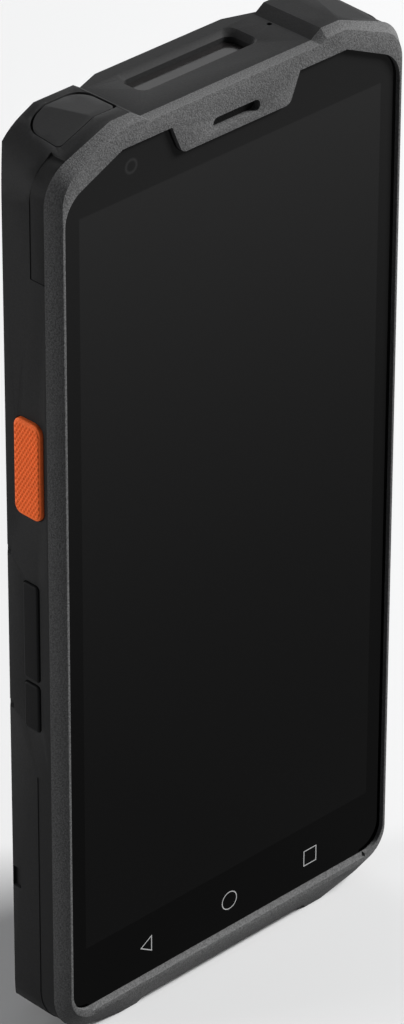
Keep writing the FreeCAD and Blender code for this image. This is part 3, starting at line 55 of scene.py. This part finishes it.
NODES = frame["nodes"]


# Camera, matched to the photograph

CAMERA_PLACE = Vector((-0.53146, -0.54367, 0.54249))
CAMERA_AZIMUTH = math.radians(-44.415)
CAMERA_ELEVATION = math.radians(31.278)
CAMERA_ROLL = math.radians(0.1768)
CAMERA_LENS = 202.66
SENSOR_SIZE = 36.0  # along the picture's longer side, in millimetres as the lens is
NEAR_LIMIT = 0.01


def add_camera():
    """Camera whose own Z axis points back from the terminal, turned by the roll."""
    level = math.cos(CAMERA_ELEVATION)
    back = Vector((
        math.sin(CAMERA_AZIMUTH) * level,
        -math.cos(CAMERA_AZIMUTH) * level,
        math.sin(CAMERA_ELEVATION),
    ))
    right = (-back).cross(Vector((0, 0, 1))).normalized()
    up = right.cross(-back)
    across = right * math.cos(CAMERA_ROLL) + up * math.sin(CAMERA_ROLL)
    upward = up * math.cos(CAMERA_ROLL) - right * math.sin(CAMERA_ROLL)
    data = bpy.data.cameras.new("photo_camera")
    data.lens = CAMERA_LENS
    data.sensor_width = SENSOR_SIZE
    data.clip_start = NEAR_LIMIT
    camera = bpy.data.objects.new("photo_camera", data)
    turn = Matrix((across, upward, back)).transposed().to_4x4()
    camera.matrix_world = Matrix.Translation(CAMERA_PLACE) @ turn
    bpy.context.scene.collection.objects.link(camera)
    bpy.context.scene.camera = camera


# Studio: three soft lamps, a plain sky and a paper floor

LAMP_AIM = (0.0, 0.0, 0.09)
LAMPS = {  # name: place, width and height, power in watts
    "key_softbox": ((1.1, -0.65, 0.95), (0.5, 0.5), 48.0),
    "side_softbox": ((-1.0, 0.75, 0.3), (0.6, 0.6), 9.5),
    "back_softbox": ((0.2, 1.3, 0.3), (0.5, 0.4), 7.0),
}
SKY_LIGHT = (0.9, 0.93, 1.0)
SKY_LIGHT_STRENGTH = 0.11
SKY_SEEN = (0.86, 0.87, 0.88)
FLOOR_HALF = 6.0
PAPER_SEEN = (0.6, 0.6, 0.6)
PAPER_BOUNCED = (0.15, 0.15, 0.15)
PAPER_ROUGHNESS = 0.9


def add_softbox(name, place, size, power):
    """Rectangular lamp that faces the middle of the terminal."""
    data = bpy.data.lights.new(name, "AREA")
    data.shape = "RECTANGLE"
    data.size, data.size_y = size
    data.energy = power
    lamp = bpy.data.objects.new(name, data)
    lamp.location = place
    aim = Vector(LAMP_AIM) - Vector(place)
    lamp.rotation_euler = aim.to_track_quat("-Z", "Y").to_euler()
    bpy.context.scene.collection.objects.link(lamp)


def seen_directly(tree):
    """One for what the camera sees, also by way of gloss and glass, and nought for other light."""
    path = tree.nodes.new("ShaderNodeLightPath")
    gloss = arithmetic(
        tree, "MAXIMUM", path.outputs["Is Camera Ray"], path.outputs["Is Glossy Ray"])
    return arithmetic(tree, "MAXIMUM", gloss, path.outputs["Is Transmission Ray"])


def add_sky():
    """Dim sky that lights the terminal, and a pale one that is seen behind it."""
    world = bpy.data.worlds.new("studio")
    bpy.context.scene.world = world
    world.use_nodes = True
    tree = world.node_tree
    tree.nodes.clear()
    output = tree.nodes.new("ShaderNodeOutputWorld")
    dim = tree.nodes.new("ShaderNodeBackground")
    dim.inputs["Color"].default_value = (*SKY_LIGHT, 1.0)
    dim.inputs["Strength"].default_value = SKY_LIGHT_STRENGTH
    pale = tree.nodes.new("ShaderNodeBackground")
    pale.inputs["Color"].default_value = (*SKY_SEEN, 1.0)
    mix = tree.nodes.new("ShaderNodeMixShader")
    tree.links.new(seen_directly(tree), mix.inputs["Fac"])
    tree.links.new(dim.outputs[0], mix.inputs[1])
    tree.links.new(pale.outputs[0], mix.inputs[2])
    tree.links.new(mix.outputs[0], output.inputs["Surface"])


def add_floor():
    """Flat pale paper, darker for the light that it would throw back on the terminal."""
    material, tree, shader = new_material("floor_paper", PAPER_SEEN, PAPER_ROUGHNESS)
    paper = tree.nodes.new("ShaderNodeMixRGB")
    paper.inputs["Color1"].default_value = (*PAPER_BOUNCED, 1.0)
    paper.inputs["Color2"].default_value = (*PAPER_SEEN, 1.0)
    tree.links.new(seen_directly(tree), paper.inputs["Fac"])
    tree.links.new(paper.outputs["Color"], shader.inputs["Base Color"])
    half = FLOOR_HALF
    corners = [(-half, -half, 0), (half, -half, 0), (half, half, 0), (-half, half, 0)]
    mesh = bpy.data.meshes.new("floor")
    mesh.from_pydata(corners, [], [(0, 1, 2, 3)])
    mesh.materials.append(material)
    floor = bpy.data.objects.new("floor", mesh)
    bpy.context.scene.collection.objects.link(floor)


def add_studio():
    for name, (place, size, power) in LAMPS.items():
        add_softbox(name, place, size, power)
    bpy.context.scene.view_settings.view_transform = "Standard"
    add_sky()
    add_floor()


# Node helpers


def new_material(name, colour, roughness, metallic=0.0, **sockets):
    """Material with one Principled shader; extra words set its plain sockets."""
    material = bpy.data.materials.new(name)
    material.use_nodes = True
    tree = material.node_tree
    shader = tree.nodes["Principled BSDF"]
    shader.inputs["Base Color"].default_value = (*colour, 1.0)
    shader.inputs["Roughness"].default_value = roughness
    shader.inputs["Metallic"].default_value = metallic
    for socket, level in sockets.items():
        shader.inputs[socket.replace("_", " ")].default_value = level
    return material, tree, shader


def new_group(name, inputs, outputs):
    """Empty shader group with its sockets; returns the group and its two end nodes."""
    group = bpy.data.node_groups.new(name, "ShaderNodeTree")
    for label, kind, start in inputs:
        socket = group.interface.new_socket(
            label, in_out="INPUT", socket_type="NodeSocket" + kind)
        socket.default_value = start
    for label, kind in outputs:
        group.interface.new_socket(label, in_out="OUTPUT", socket_type="NodeSocket" + kind)
    return group, group.nodes.new("NodeGroupInput"), group.nodes.new("NodeGroupOutput")


def place_group(tree, group, **values):
    """Group node in a material; an underscore in a word stands for a space in its socket."""
    node = tree.nodes.new("ShaderNodeGroup")
    node.node_tree = group
    for label, level in values.items():
        node.inputs[label.replace("_", " ")].default_value = level
    return node


def arithmetic(tree, operation, *values):
    """Math node over plain numbers and other nodes' outputs."""
    node = tree.nodes.new("ShaderNodeMath")
    node.operation = operation
    for number, value in enumerate(values):
        if isinstance(value, (int, float)):
            node.inputs[number].default_value = value
        else:
            tree.links.new(value, node.inputs[number])
    return node.outputs[0]


def spread(tree, value, low, high, to_low, to_high):
    """Map Range node from one span of values to another."""
    node = tree.nodes.new("ShaderNodeMapRange")
    node.inputs["From Min"].default_value = low
    node.inputs["From Max"].default_value = high
    node.inputs["To Min"].default_value = to_low
    node.inputs["To Max"].default_value = to_high
    tree.links.new(value, node.inputs["Value"])
    return node.outputs["Result"]


def noise(tree, vector, scale, detail, distortion=0.0):
    """Noise node's value; its scale is a plain number or another node's output."""
    node = tree.nodes.new("ShaderNodeTexNoise")
    node.inputs["Detail"].default_value = detail
    node.inputs["Distortion"].default_value = distortion
    if isinstance(scale, (int, float)):
        node.inputs["Scale"].default_value = scale
    else:
        tree.links.new(scale, node.inputs["Scale"])
    tree.links.new(vector, node.inputs["Vector"])
    return node.outputs["Fac"]


# Shared effects: moulded grain, and smears on handled surfaces

NOISE_SPAN = (0.3, 0.7)
PATCH_SCALE = 45.0  # patches about 22 mm across
PATCH_TONE = (0.94, 1.06)
PATCH_ROUGHNESS = (-0.05, 0.05)
GRAIN_DETAIL = 3.0
SMEAR_SPAN = (0.45, 0.75)
SMEAR_STRETCH = (1.0, 1.0, 0.55)
SMEAR_DETAIL = 4.0
SMEAR_DISTORTION = 0.6


def make_grain():
    """Moulded grain: a bump and a sparkle from fine noise, tone and gloss from broad patches."""
    group, start, end = new_group(
        "moulded_grain",
        [
            ("Colour", "Color", (0.05, 0.05, 0.05, 1.0)),
            ("Grain Size", "Float", 0.3 * MM),
            ("Depth", "Float", 0.02 * MM),
            ("Roughness", "Float", 0.5),
            ("Sparkle", "Float", 0.1),
        ],
        [("Colour", "Color"), ("Roughness", "Float"), ("Normal", "Vector")])
    place = group.nodes.new("ShaderNodeTexCoord").outputs["Object"]
    grains = arithmetic(group, "DIVIDE", 1.0, start.outputs["Grain Size"])
    fine = noise(group, place, grains, GRAIN_DETAIL)
    patches = noise(group, place, PATCH_SCALE, GRAIN_DETAIL)

    bump = group.nodes.new("ShaderNodeBump")
    group.links.new(start.outputs["Depth"], bump.inputs["Distance"])
    group.links.new(fine, bump.inputs["Height"])
    group.links.new(bump.outputs["Normal"], end.inputs["Normal"])

    # Tone: one, changed by up to 6 percent in patches and by the sparkle in grains
    patch_tone = spread(group, patches, *NOISE_SPAN, *PATCH_TONE)
    grain_tone = spread(group, fine, *NOISE_SPAN, -1.0, 1.0)
    tone = arithmetic(group, "MULTIPLY_ADD", grain_tone, start.outputs["Sparkle"], patch_tone)
    toned = group.nodes.new("ShaderNodeVectorMath")
    toned.operation = "SCALE"
    group.links.new(start.outputs["Colour"], toned.inputs[0])
    group.links.new(tone, toned.inputs["Scale"])
    group.links.new(toned.outputs[0], end.inputs["Colour"])

    patch_roughness = spread(group, patches, *NOISE_SPAN, *PATCH_ROUGHNESS)
    roughness = arithmetic(group, "ADD", patch_roughness, start.outputs["Roughness"])
    group.links.new(roughness, end.inputs["Roughness"])
    return group


def make_smears():
    """Handled surface: a roughness that rises in broad, upright smears."""
    group, start, end = new_group(
        "handled_smears",
        [
            ("Roughness", "Float", 0.1),
            ("Amount", "Float", 0.05),
            ("Smear Size", "Float", 20.0 * MM),
        ],
        [("Roughness", "Float")])
    place = group.nodes.new("ShaderNodeTexCoord").outputs["Object"]
    stretch = group.nodes.new("ShaderNodeMapping")
    stretch.inputs["Scale"].default_value = SMEAR_STRETCH
    group.links.new(place, stretch.inputs["Vector"])
    scale = arithmetic(group, "DIVIDE", 1.0, start.outputs["Smear Size"])
    broad = noise(group, stretch.outputs[0], scale, SMEAR_DETAIL, SMEAR_DISTORTION)
    smear = spread(group, broad, *SMEAR_SPAN, 0.0, 1.0)
    roughness = arithmetic(
        group, "MULTIPLY_ADD", smear, start.outputs["Amount"], start.outputs["Roughness"])
    group.links.new(roughness, end.inputs["Roughness"])
    return group


GRAIN = make_grain()
SMEARS = make_smears()


def moulded(name, colour, roughness, grain=0.3, depth=0.02, sparkle=0.08, **sockets):
    """Moulded plastic or rubber with its grain's size and depth in millimetres."""
    material, tree, shader = new_material(name, colour, roughness, **sockets)
    node = place_group(
        tree, GRAIN, Colour=(*colour, 1.0), Grain_Size=grain * MM, Depth=depth * MM,
        Roughness=roughness, Sparkle=sparkle)
    tree.links.new(node.outputs["Colour"], shader.inputs["Base Color"])
    tree.links.new(node.outputs["Roughness"], shader.inputs["Roughness"])
    tree.links.new(node.outputs["Normal"], shader.inputs["Normal"])
    return material


def handled(name, colour, roughness, metallic=0.0, amount=0.12, smear=12.0, **sockets):
    """Smooth hard surface with faint smears whose size is in millimetres."""
    material, tree, shader = new_material(name, colour, roughness, metallic, **sockets)
    node = place_group(
        tree, SMEARS, Roughness=roughness, Amount=amount, Smear_Size=smear * MM)
    tree.links.new(node.outputs["Roughness"], shader.inputs["Roughness"])
    return material


# Cover glass: the print behind it is a black border and a display, both with painted light
# that makes them lighter towards the top, and a faint ring round the front camera

GLASS_ROUGHNESS = 0.06
GLASS_INDEX = 1.09
GLASS_SMEAR_AMOUNT = 0.05
GLASS_SMEAR_SIZE = 14.0 * MM
DISPLAY_HALF = 31.25 * MM
DISPLAY_FOOT = 17.4 * MM
DISPLAY_TOP = 146.5 * MM
DISPLAY_EDGE = 0.05 * MM
# The top tones hold painted light: border and display are painted lighter towards the top.
BORDER_FOOT_TONE = 0.0001
BORDER_TOP_PAINTED_LIGHT_TONE = 0.0108
DISPLAY_FOOT_TONE = 0.0021
DISPLAY_TOP_PAINTED_LIGHT_TONE = 0.0165
LENS_MARK = (-20.8 * MM, 151.4 * MM)
LENS_RING_INNER = 0.85 * MM
LENS_RING_OUTER = 1.25 * MM
LENS_RING_EDGE = 0.15 * MM
LENS_RING_TONE = 0.012


def step_up(tree, value, edge, softness):
    """One above the edge and nought below it, with a narrow soft step."""
    return spread(tree, value, edge - softness, edge + softness, 0.0, 1.0)


def lens_ring(tree, axes):
    """Tone of a thin ring round the front camera, by the distance from its middle."""
    across = arithmetic(tree, "SUBTRACT", axes.outputs["X"], LENS_MARK[0])
    upward = arithmetic(tree, "SUBTRACT", axes.outputs["Z"], LENS_MARK[1])
    square = arithmetic(
        tree, "ADD",
        arithmetic(tree, "MULTIPLY", across, across),
        arithmetic(tree, "MULTIPLY", upward, upward))
    reach = arithmetic(tree, "SQRT", square)
    past_outer = step_up(tree, reach, LENS_RING_OUTER, LENS_RING_EDGE)
    past_inner = step_up(tree, reach, LENS_RING_INNER, LENS_RING_EDGE)
    within = arithmetic(tree, "SUBTRACT", 1.0, past_outer)
    return arithmetic(
        tree, "MULTIPLY", arithmetic(tree, "MULTIPLY", within, past_inner), LENS_RING_TONE)


def display_area(tree, axes):
    """One inside the display's rectangle and nought on the border."""
    aside = arithmetic(tree, "ABSOLUTE", axes.outputs["X"])
    within = arithmetic(tree, "SUBTRACT", 1.0, step_up(tree, aside, DISPLAY_HALF, DISPLAY_EDGE))
    above_foot = step_up(tree, axes.outputs["Z"], DISPLAY_FOOT, DISPLAY_EDGE)
    above_top = step_up(tree, axes.outputs["Z"], DISPLAY_TOP, DISPLAY_EDGE)
    between = arithmetic(tree, "SUBTRACT", above_foot, above_top)
    return arithmetic(tree, "MULTIPLY", within, between)


def make_glass():
    """Gloss black glass whose print and painted light follow Object coordinates.

    The tones rise with the square of the height over the display's foot, as painted light.
    """
    material, tree, shader = new_material(
        "front_glass", (BORDER_FOOT_TONE,) * 3, GLASS_ROUGHNESS, IOR=GLASS_INDEX)
    axes = tree.nodes.new("ShaderNodeSeparateXYZ")
    tree.links.new(tree.nodes.new("ShaderNodeTexCoord").outputs["Object"], axes.inputs[0])
    # Painted light: the tones rise towards the top with the square of the height.
    height = spread(tree, axes.outputs["Z"], DISPLAY_FOOT, DISPLAY_TOP, 0.0, 1.0)
    squared = arithmetic(tree, "MULTIPLY", height, height)
    display = spread(tree, squared, 0.0, 1.0, DISPLAY_FOOT_TONE, DISPLAY_TOP_PAINTED_LIGHT_TONE)
    border = spread(tree, squared, 0.0, 1.0, BORDER_FOOT_TONE, BORDER_TOP_PAINTED_LIGHT_TONE)
    lift = arithmetic(tree, "SUBTRACT", display, border)
    print_and_painted_light_tone = arithmetic(tree, "MULTIPLY_ADD", display_area(tree, axes), lift, border)
    tone = arithmetic(tree, "ADD", print_and_painted_light_tone, lens_ring(tree, axes))
    colour = tree.nodes.new("ShaderNodeCombineColor")
    for channel in ("Red", "Green", "Blue"):
        tree.links.new(tone, colour.inputs[channel])
    tree.links.new(colour.outputs[0], shader.inputs["Base Color"])
    smears = place_group(
        tree, SMEARS, Roughness=GLASS_ROUGHNESS, Amount=GLASS_SMEAR_AMOUNT,
        Smear_Size=GLASS_SMEAR_SIZE)
    tree.links.new(smears.outputs["Roughness"], shader.inputs["Roughness"])
    return material


# Finishes of the record's material slots: name, colour, roughness, and metallic where it is metal

MOULDED_LOOKS = {
    "frame": ("frame_plastic", (0.105, 0.105, 0.1054), 0.55,
              dict(grain=0.24, depth=0.1, sparkle=0.35, Specular_IOR_Level=0.02)),
    "housing": ("housing_plastic", (0.0165, 0.0165, 0.0167), 0.6,
                dict(sparkle=0.15, Specular_IOR_Level=0.08)),
    "adhesive": ("adhesive", (0.02, 0.02, 0.02), 0.6, {}),
    # The wire mesh is near black: its own dark colour plus painted shade for the earpiece slot's
    # dark inside.
    "mesh": ("wire_mesh_painted_shade", (0.004, 0.004, 0.004), 0.6,
             dict(grain=0.2, depth=0.1, Specular_IOR_Level=0.1)),
    "seal": ("seal_rubber", (0.02, 0.02, 0.021), 0.7, {}),
    "flap": ("flap_rubber", (0.018, 0.018, 0.0182), 0.6,
             dict(grain=0.35, depth=0.015, Specular_IOR_Level=0.15)),
    "battery": ("battery_case", (0.05, 0.05, 0.055), 0.45, {}),
    "connector": ("connector_plastic", (0.02, 0.02, 0.02), 0.4, {}),
    "engine": ("engine_case", (0.02, 0.02, 0.022), 0.4, {}),
    "orange_key": ("orange_key", (0.97, 0.17, 0.04), 0.6,
                   dict(grain=0.4, sparkle=0.12, Specular_IOR_Level=0.1)),
    "key": ("dark_key", (0.008, 0.008, 0.0082), 0.5,
            dict(grain=0.2, Specular_IOR_Level=0.05)),
    "module": ("module_plastic", (0.02, 0.02, 0.021), 0.4, {}),
    "lamp_yellow": ("lamp_phosphor", (0.8, 0.62, 0.12), 0.5, dict(grain=0.1)),
}
HANDLED_LOOKS = {
    "display": ("display", (0.01, 0.01, 0.012), 0.15, {}),
    "light_alloy": ("light_alloy", (0.62, 0.63, 0.65), 0.35, dict(metallic=1.0)),
    "steel": ("blackened_steel", (0.12, 0.12, 0.125), 0.32, dict(metallic=1.0, smear=2.0)),
    "shield": ("tinned_steel", (0.68, 0.68, 0.66), 0.3, dict(metallic=1.0, smear=4.0)),
    "flex": ("flex_film", (0.5, 0.22, 0.04), 0.3, dict(smear=3.0)),
    "board": ("board_lacquer", (0.02, 0.14, 0.06), 0.3, dict(smear=3.0)),
    "lens": ("lens_glass", (0.01, 0.01, 0.02), 0.03, dict(amount=0.03, Coat_Weight=1.0)),
    "lamp": ("lamp_red", (0.35, 0.02, 0.015), 0.12, dict(smear=2.0)),
    "window": ("scan_glass", (0.012, 0.011, 0.011), 0.08, dict(smear=3.0)),
    "antenna": ("plated_brass", (0.62, 0.45, 0.2), 0.3, dict(metallic=1.0, smear=3.0)),
    "ring": ("anodised_ring", (0.08, 0.08, 0.085), 0.3, dict(metallic=1.0, smear=3.0)),
    "diffuser": ("lamp_lens", (0.75, 0.75, 0.7), 0.15, dict(smear=2.0)),
}


def make_looks():
    """One material for each of the record's slots."""
    looks = {"cover_glass": make_glass()}
    for make, table in ((moulded, MOULDED_LOOKS), (handled, HANDLED_LOOKS)):
        for slot, (name, colour, roughness, values) in table.items():
            looks[slot] = make(name, colour, roughness, **values)
    return looks


def dress_nodes(looks):
    """Each CAD node gets the material of its slot."""
    for part in frame["record"]["subparts"]:
        mesh = NODES[part["node"]].data
        mesh.materials.clear()
        mesh.materials.append(looks[part["material_slot"]])


# Outer parts shown by merged copies with a bevel: node, its body, its slot, and the width asked
# of the bevel in millimetres. The bevel stops where the shortest edges would cross, at 0.01 mm or
# less, so it softens the shading and hardly the shape.

ROUNDED = {
    "front_frame": ("terminal", "frame", 0.3),
    "rear_housing": ("terminal", "housing", 0.25),
    "jack_cover": ("headphone_cover", "flap", 0.15),
    "volume_rocker": ("volume_key", "key", 0.15),
    "function_key": ("function_button", "key", 0.15),
    "power_key": ("power_button", "key", 0.15),
    "scan_key_left": ("left_scan_key", "orange_key", 0.15),
    "scan_key_right": ("right_scan_key", "orange_key", 0.15),
}
MERGE_DISTANCE = 0.001 * MM
EDGE_SEGMENTS = 3
EDGE_ANGLE = math.radians(30.0)


def add_rounded(node, body, width):
    """Copy of a dressed node, merged and with a bevel on its edges, in the node's place."""
    mesh = NODES[node].data.copy()
    mesh.polygons.foreach_set("use_smooth", np.full(len(mesh.polygons), True))
    piece = bpy.data.objects.new(node + "_rounded", mesh)
    bpy.context.scene.collection.objects.link(piece)
    weld = piece.modifiers.new("weld", "WELD")
    weld.merge_threshold = MERGE_DISTANCE
    bevel = piece.modifiers.new("bevel", "BEVEL")
    bevel.width = width * MM
    bevel.segments = EDGE_SEGMENTS
    bevel.limit_method = "ANGLE"
    bevel.angle_limit = EDGE_ANGLE
    bevel.harden_normals = True
    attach(piece, body)
    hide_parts(node)


# New pieces, worked out in millimetres and handed on in metres


def new_piece(name, points, faces, body, material, smooth=True):
    """Mesh piece from arrays of points in metres and of faces."""
    mesh = bpy.data.meshes.new(name)
    mesh.from_pydata(points.tolist(), [], faces.tolist())
    mesh.polygons.foreach_set("use_smooth", np.full(len(mesh.polygons), smooth))
    mesh.update()
    mesh.materials.append(material)
    piece = bpy.data.objects.new(name, mesh)
    bpy.context.scene.collection.objects.link(piece)
    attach(piece, body)


def grid_faces(rows, columns, closed):
    """Quads between neighbours on a grid of points; a closed grid joins its ends in both ways."""
    index = np.arange(rows * columns).reshape(rows, columns)
    last_row, last_column = (rows, columns) if closed else (rows - 1, columns - 1)
    i, j = np.meshgrid(np.arange(last_row), np.arange(last_column), indexing="ij")
    next_row, next_column = (i + 1) % rows, (j + 1) % columns
    corners = (index[i, j], index[i, next_column], index[next_row, next_column], index[next_row, j])
    return np.stack(corners, axis=-1).reshape(-1, 4)


def ribbon(path, width, level, depth):
    """Closed flat line along a loop of (x, z).

    Each corner of the loop is moved out and in along its mitre, by half the width over the cosine
    of half its turn. The four edges so made, at the level and a depth in front of it, are joined.
    """
    path = np.asarray(path, float)
    before = path - np.roll(path, 1, axis=0)
    after = np.roll(path, -1, axis=0) - path
    before /= np.linalg.norm(before, axis=1)[:, None]
    after /= np.linalg.norm(after, axis=1)[:, None]
    mitre = np.stack((before[:, 1] + after[:, 1], -before[:, 0] - after[:, 0]), axis=1)
    mitre /= np.linalg.norm(mitre, axis=1)[:, None]
    cosine = mitre[:, 0] * after[:, 1] - mitre[:, 1] * after[:, 0]
    shift = mitre * (width / 2 / cosine)[:, None]
    outer, inner, front = path + shift, path - shift, level - depth
    edges = ((outer, level), (inner, level), (inner, front), (outer, front))
    grid = np.stack(
        [np.stack((flat[:, 0], np.full(len(flat), y), flat[:, 1]), axis=1) for flat, y in edges],
        axis=1)
    return grid.reshape(-1, 3), grid_faces(len(path), len(edges), closed=True)


# Symbols at the foot of the glass, in millimetres
GLASS_FRONT = -7.6
INK_COLOUR = (0.42, 0.42, 0.42)
INK_ROUGHNESS = 0.4
INK_WIDTH = 0.16
INK_SUNK = 0.001
INK_DEPTH = 0.012
HOME_MIDDLE = (0.16, 11.3)
HOME_RADIUS = 1.6
HOME_POINTS = 48
BACK_CORNERS = [(-17.1, 10.15), (-17.1, 12.95), (-19.4, 11.55)]
RECENT_CORNERS = [(17.05, 9.75), (19.8, 9.75), (19.8, 12.55), (17.05, 12.55)]


def add_icons():
    """Three thin outlines printed on the glass: a triangle, a circle and a square.

    The circle's points are its middle plus the radius times the cosine and sine of even turns.
    """
    ink = new_material("icon_ink", INK_COLOUR, INK_ROUGHNESS)[0]
    turn = np.linspace(0, 2 * np.pi, HOME_POINTS, endpoint=False)
    circle = np.array(HOME_MIDDLE) + HOME_RADIUS * np.stack((np.cos(turn), np.sin(turn)), axis=1)
    outlines = {
        "icon_back": BACK_CORNERS,
        "icon_home": circle,
        "icon_recent": RECENT_CORNERS,
    }
    for name, outline in outlines.items():
        points, faces = ribbon(outline, INK_WIDTH, GLASS_FRONT + INK_SUNK, INK_DEPTH)
        new_piece(name, points * MM, faces, "terminal", ink, smooth=False)


# Knurl of the scan keys, in millimetres
KEY_MIDDLE_Y = -2.35
KNURL_HALF_Y = 2.62
KNURL_HALF_Z = 7.97
KNURL_CORNER = 1.35
KNURL_ROWS = 150
KNURL_COLUMNS = 54
KNURL_PITCH = 0.7
KNURL_SLOPE = 0.62
KNURL_FLAT = 0.02
KNURL_FOOT = 0.05
KNURL_HEIGHT = 0.2
KNURL_FADE = 0.08
KNURL_SUNK = 0.2
TINY = 1e-9  # keeps a division by the hypotenuse from nought


def knurl_face():
    """Grid over the key's rounded outline, and how far each of its points stands out.

    Beside a corner's middle, both distances past it are shrunk by the larger one over their
    hypotenuse, which pulls the square grid in to the arc. The height is two crossed waves
    multiplied, abs(sin(y + slope z)) times abs(sin(y - slope z)), and it falls to the border.
    """
    v, u = np.meshgrid(
        np.linspace(-1, 1, KNURL_ROWS), np.linspace(-1, 1, KNURL_COLUMNS), indexing="ij")
    y = u * KNURL_HALF_Y
    z = v * KNURL_HALF_Z
    past_y = np.maximum(np.abs(y) - (KNURL_HALF_Y - KNURL_CORNER), 0)
    past_z = np.maximum(np.abs(z) - (KNURL_HALF_Z - KNURL_CORNER), 0)
    reach = np.maximum(np.hypot(past_y, past_z), TINY)
    in_corner = (past_y > 0) & (past_z > 0)
    fit = np.where(in_corner, np.maximum(past_y, past_z) / reach, 1.0)
    y = np.sign(y) * (np.abs(y) - past_y + past_y * fit)
    z = np.sign(z) * (np.abs(z) - past_z + past_z * fit)
    rising = np.abs(np.sin(np.pi * (y + z * KNURL_SLOPE) / KNURL_PITCH))
    falling = np.abs(np.sin(np.pi * (y - z * KNURL_SLOPE) / KNURL_PITCH))
    rim = np.minimum(1 - np.abs(u), 1 - np.abs(v))
    fade = np.clip(rim / KNURL_FADE, 0, 1)
    return y, z, KNURL_FLAT + (KNURL_FOOT + KNURL_HEIGHT * rising * falling) * fade


def grid_border(rows, columns):
    """Indices round a grid's edge, in order."""
    index = np.arange(rows * columns).reshape(rows, columns)
    return np.concatenate((index[0, :-1], index[:-1, -1], index[-1, :0:-1], index[:0:-1, 0]))


def knurl_pad(side):
    """Diamond knurl on a scan key's outer face, closed by a flat back sunk in the key."""
    low, high = (np.array(corner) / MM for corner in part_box("scan_key_" + side))
    outward = 1.0 if side == "right" else -1.0
    key_face = high[0] if side == "right" else low[0]
    y, z, stands = knurl_face()
    y = y + KEY_MIDDLE_Y
    z = z + (low[2] + high[2]) / 2
    front = np.stack((key_face + outward * stands, y, z), axis=-1)
    back = np.stack((np.full_like(y, key_face - outward * KNURL_SUNK), y, z), axis=-1)
    points = np.concatenate((front.reshape(-1, 3), back.reshape(-1, 3)))
    to_back = KNURL_ROWS * KNURL_COLUMNS
    front_faces = grid_faces(KNURL_ROWS, KNURL_COLUMNS, closed=False)
    back_faces = front_faces[:, ::-1] + to_back
    edge = grid_border(KNURL_ROWS, KNURL_COLUMNS)
    following = np.roll(edge, -1)
    wall = np.stack((edge, edge + to_back, following + to_back, following), axis=1)
    faces = np.concatenate((front_faces, back_faces, wall))
    if side == "left":
        faces = faces[:, ::-1]
    return points, faces


def add_knurls(material):
    for side in ("left", "right"):
        points, faces = knurl_pad(side)
        new_piece("scan_key_knurl_" + side, points * MM, faces,
                  side + "_scan_key", material)


def main():
    add_camera()
    add_studio()
    looks = make_looks()
    dress_nodes(looks)
    for node, (body, slot, width) in ROUNDED.items():
        add_rounded(node, body, width)
    add_icons()
    add_knurls(looks["orange_key"])


main()
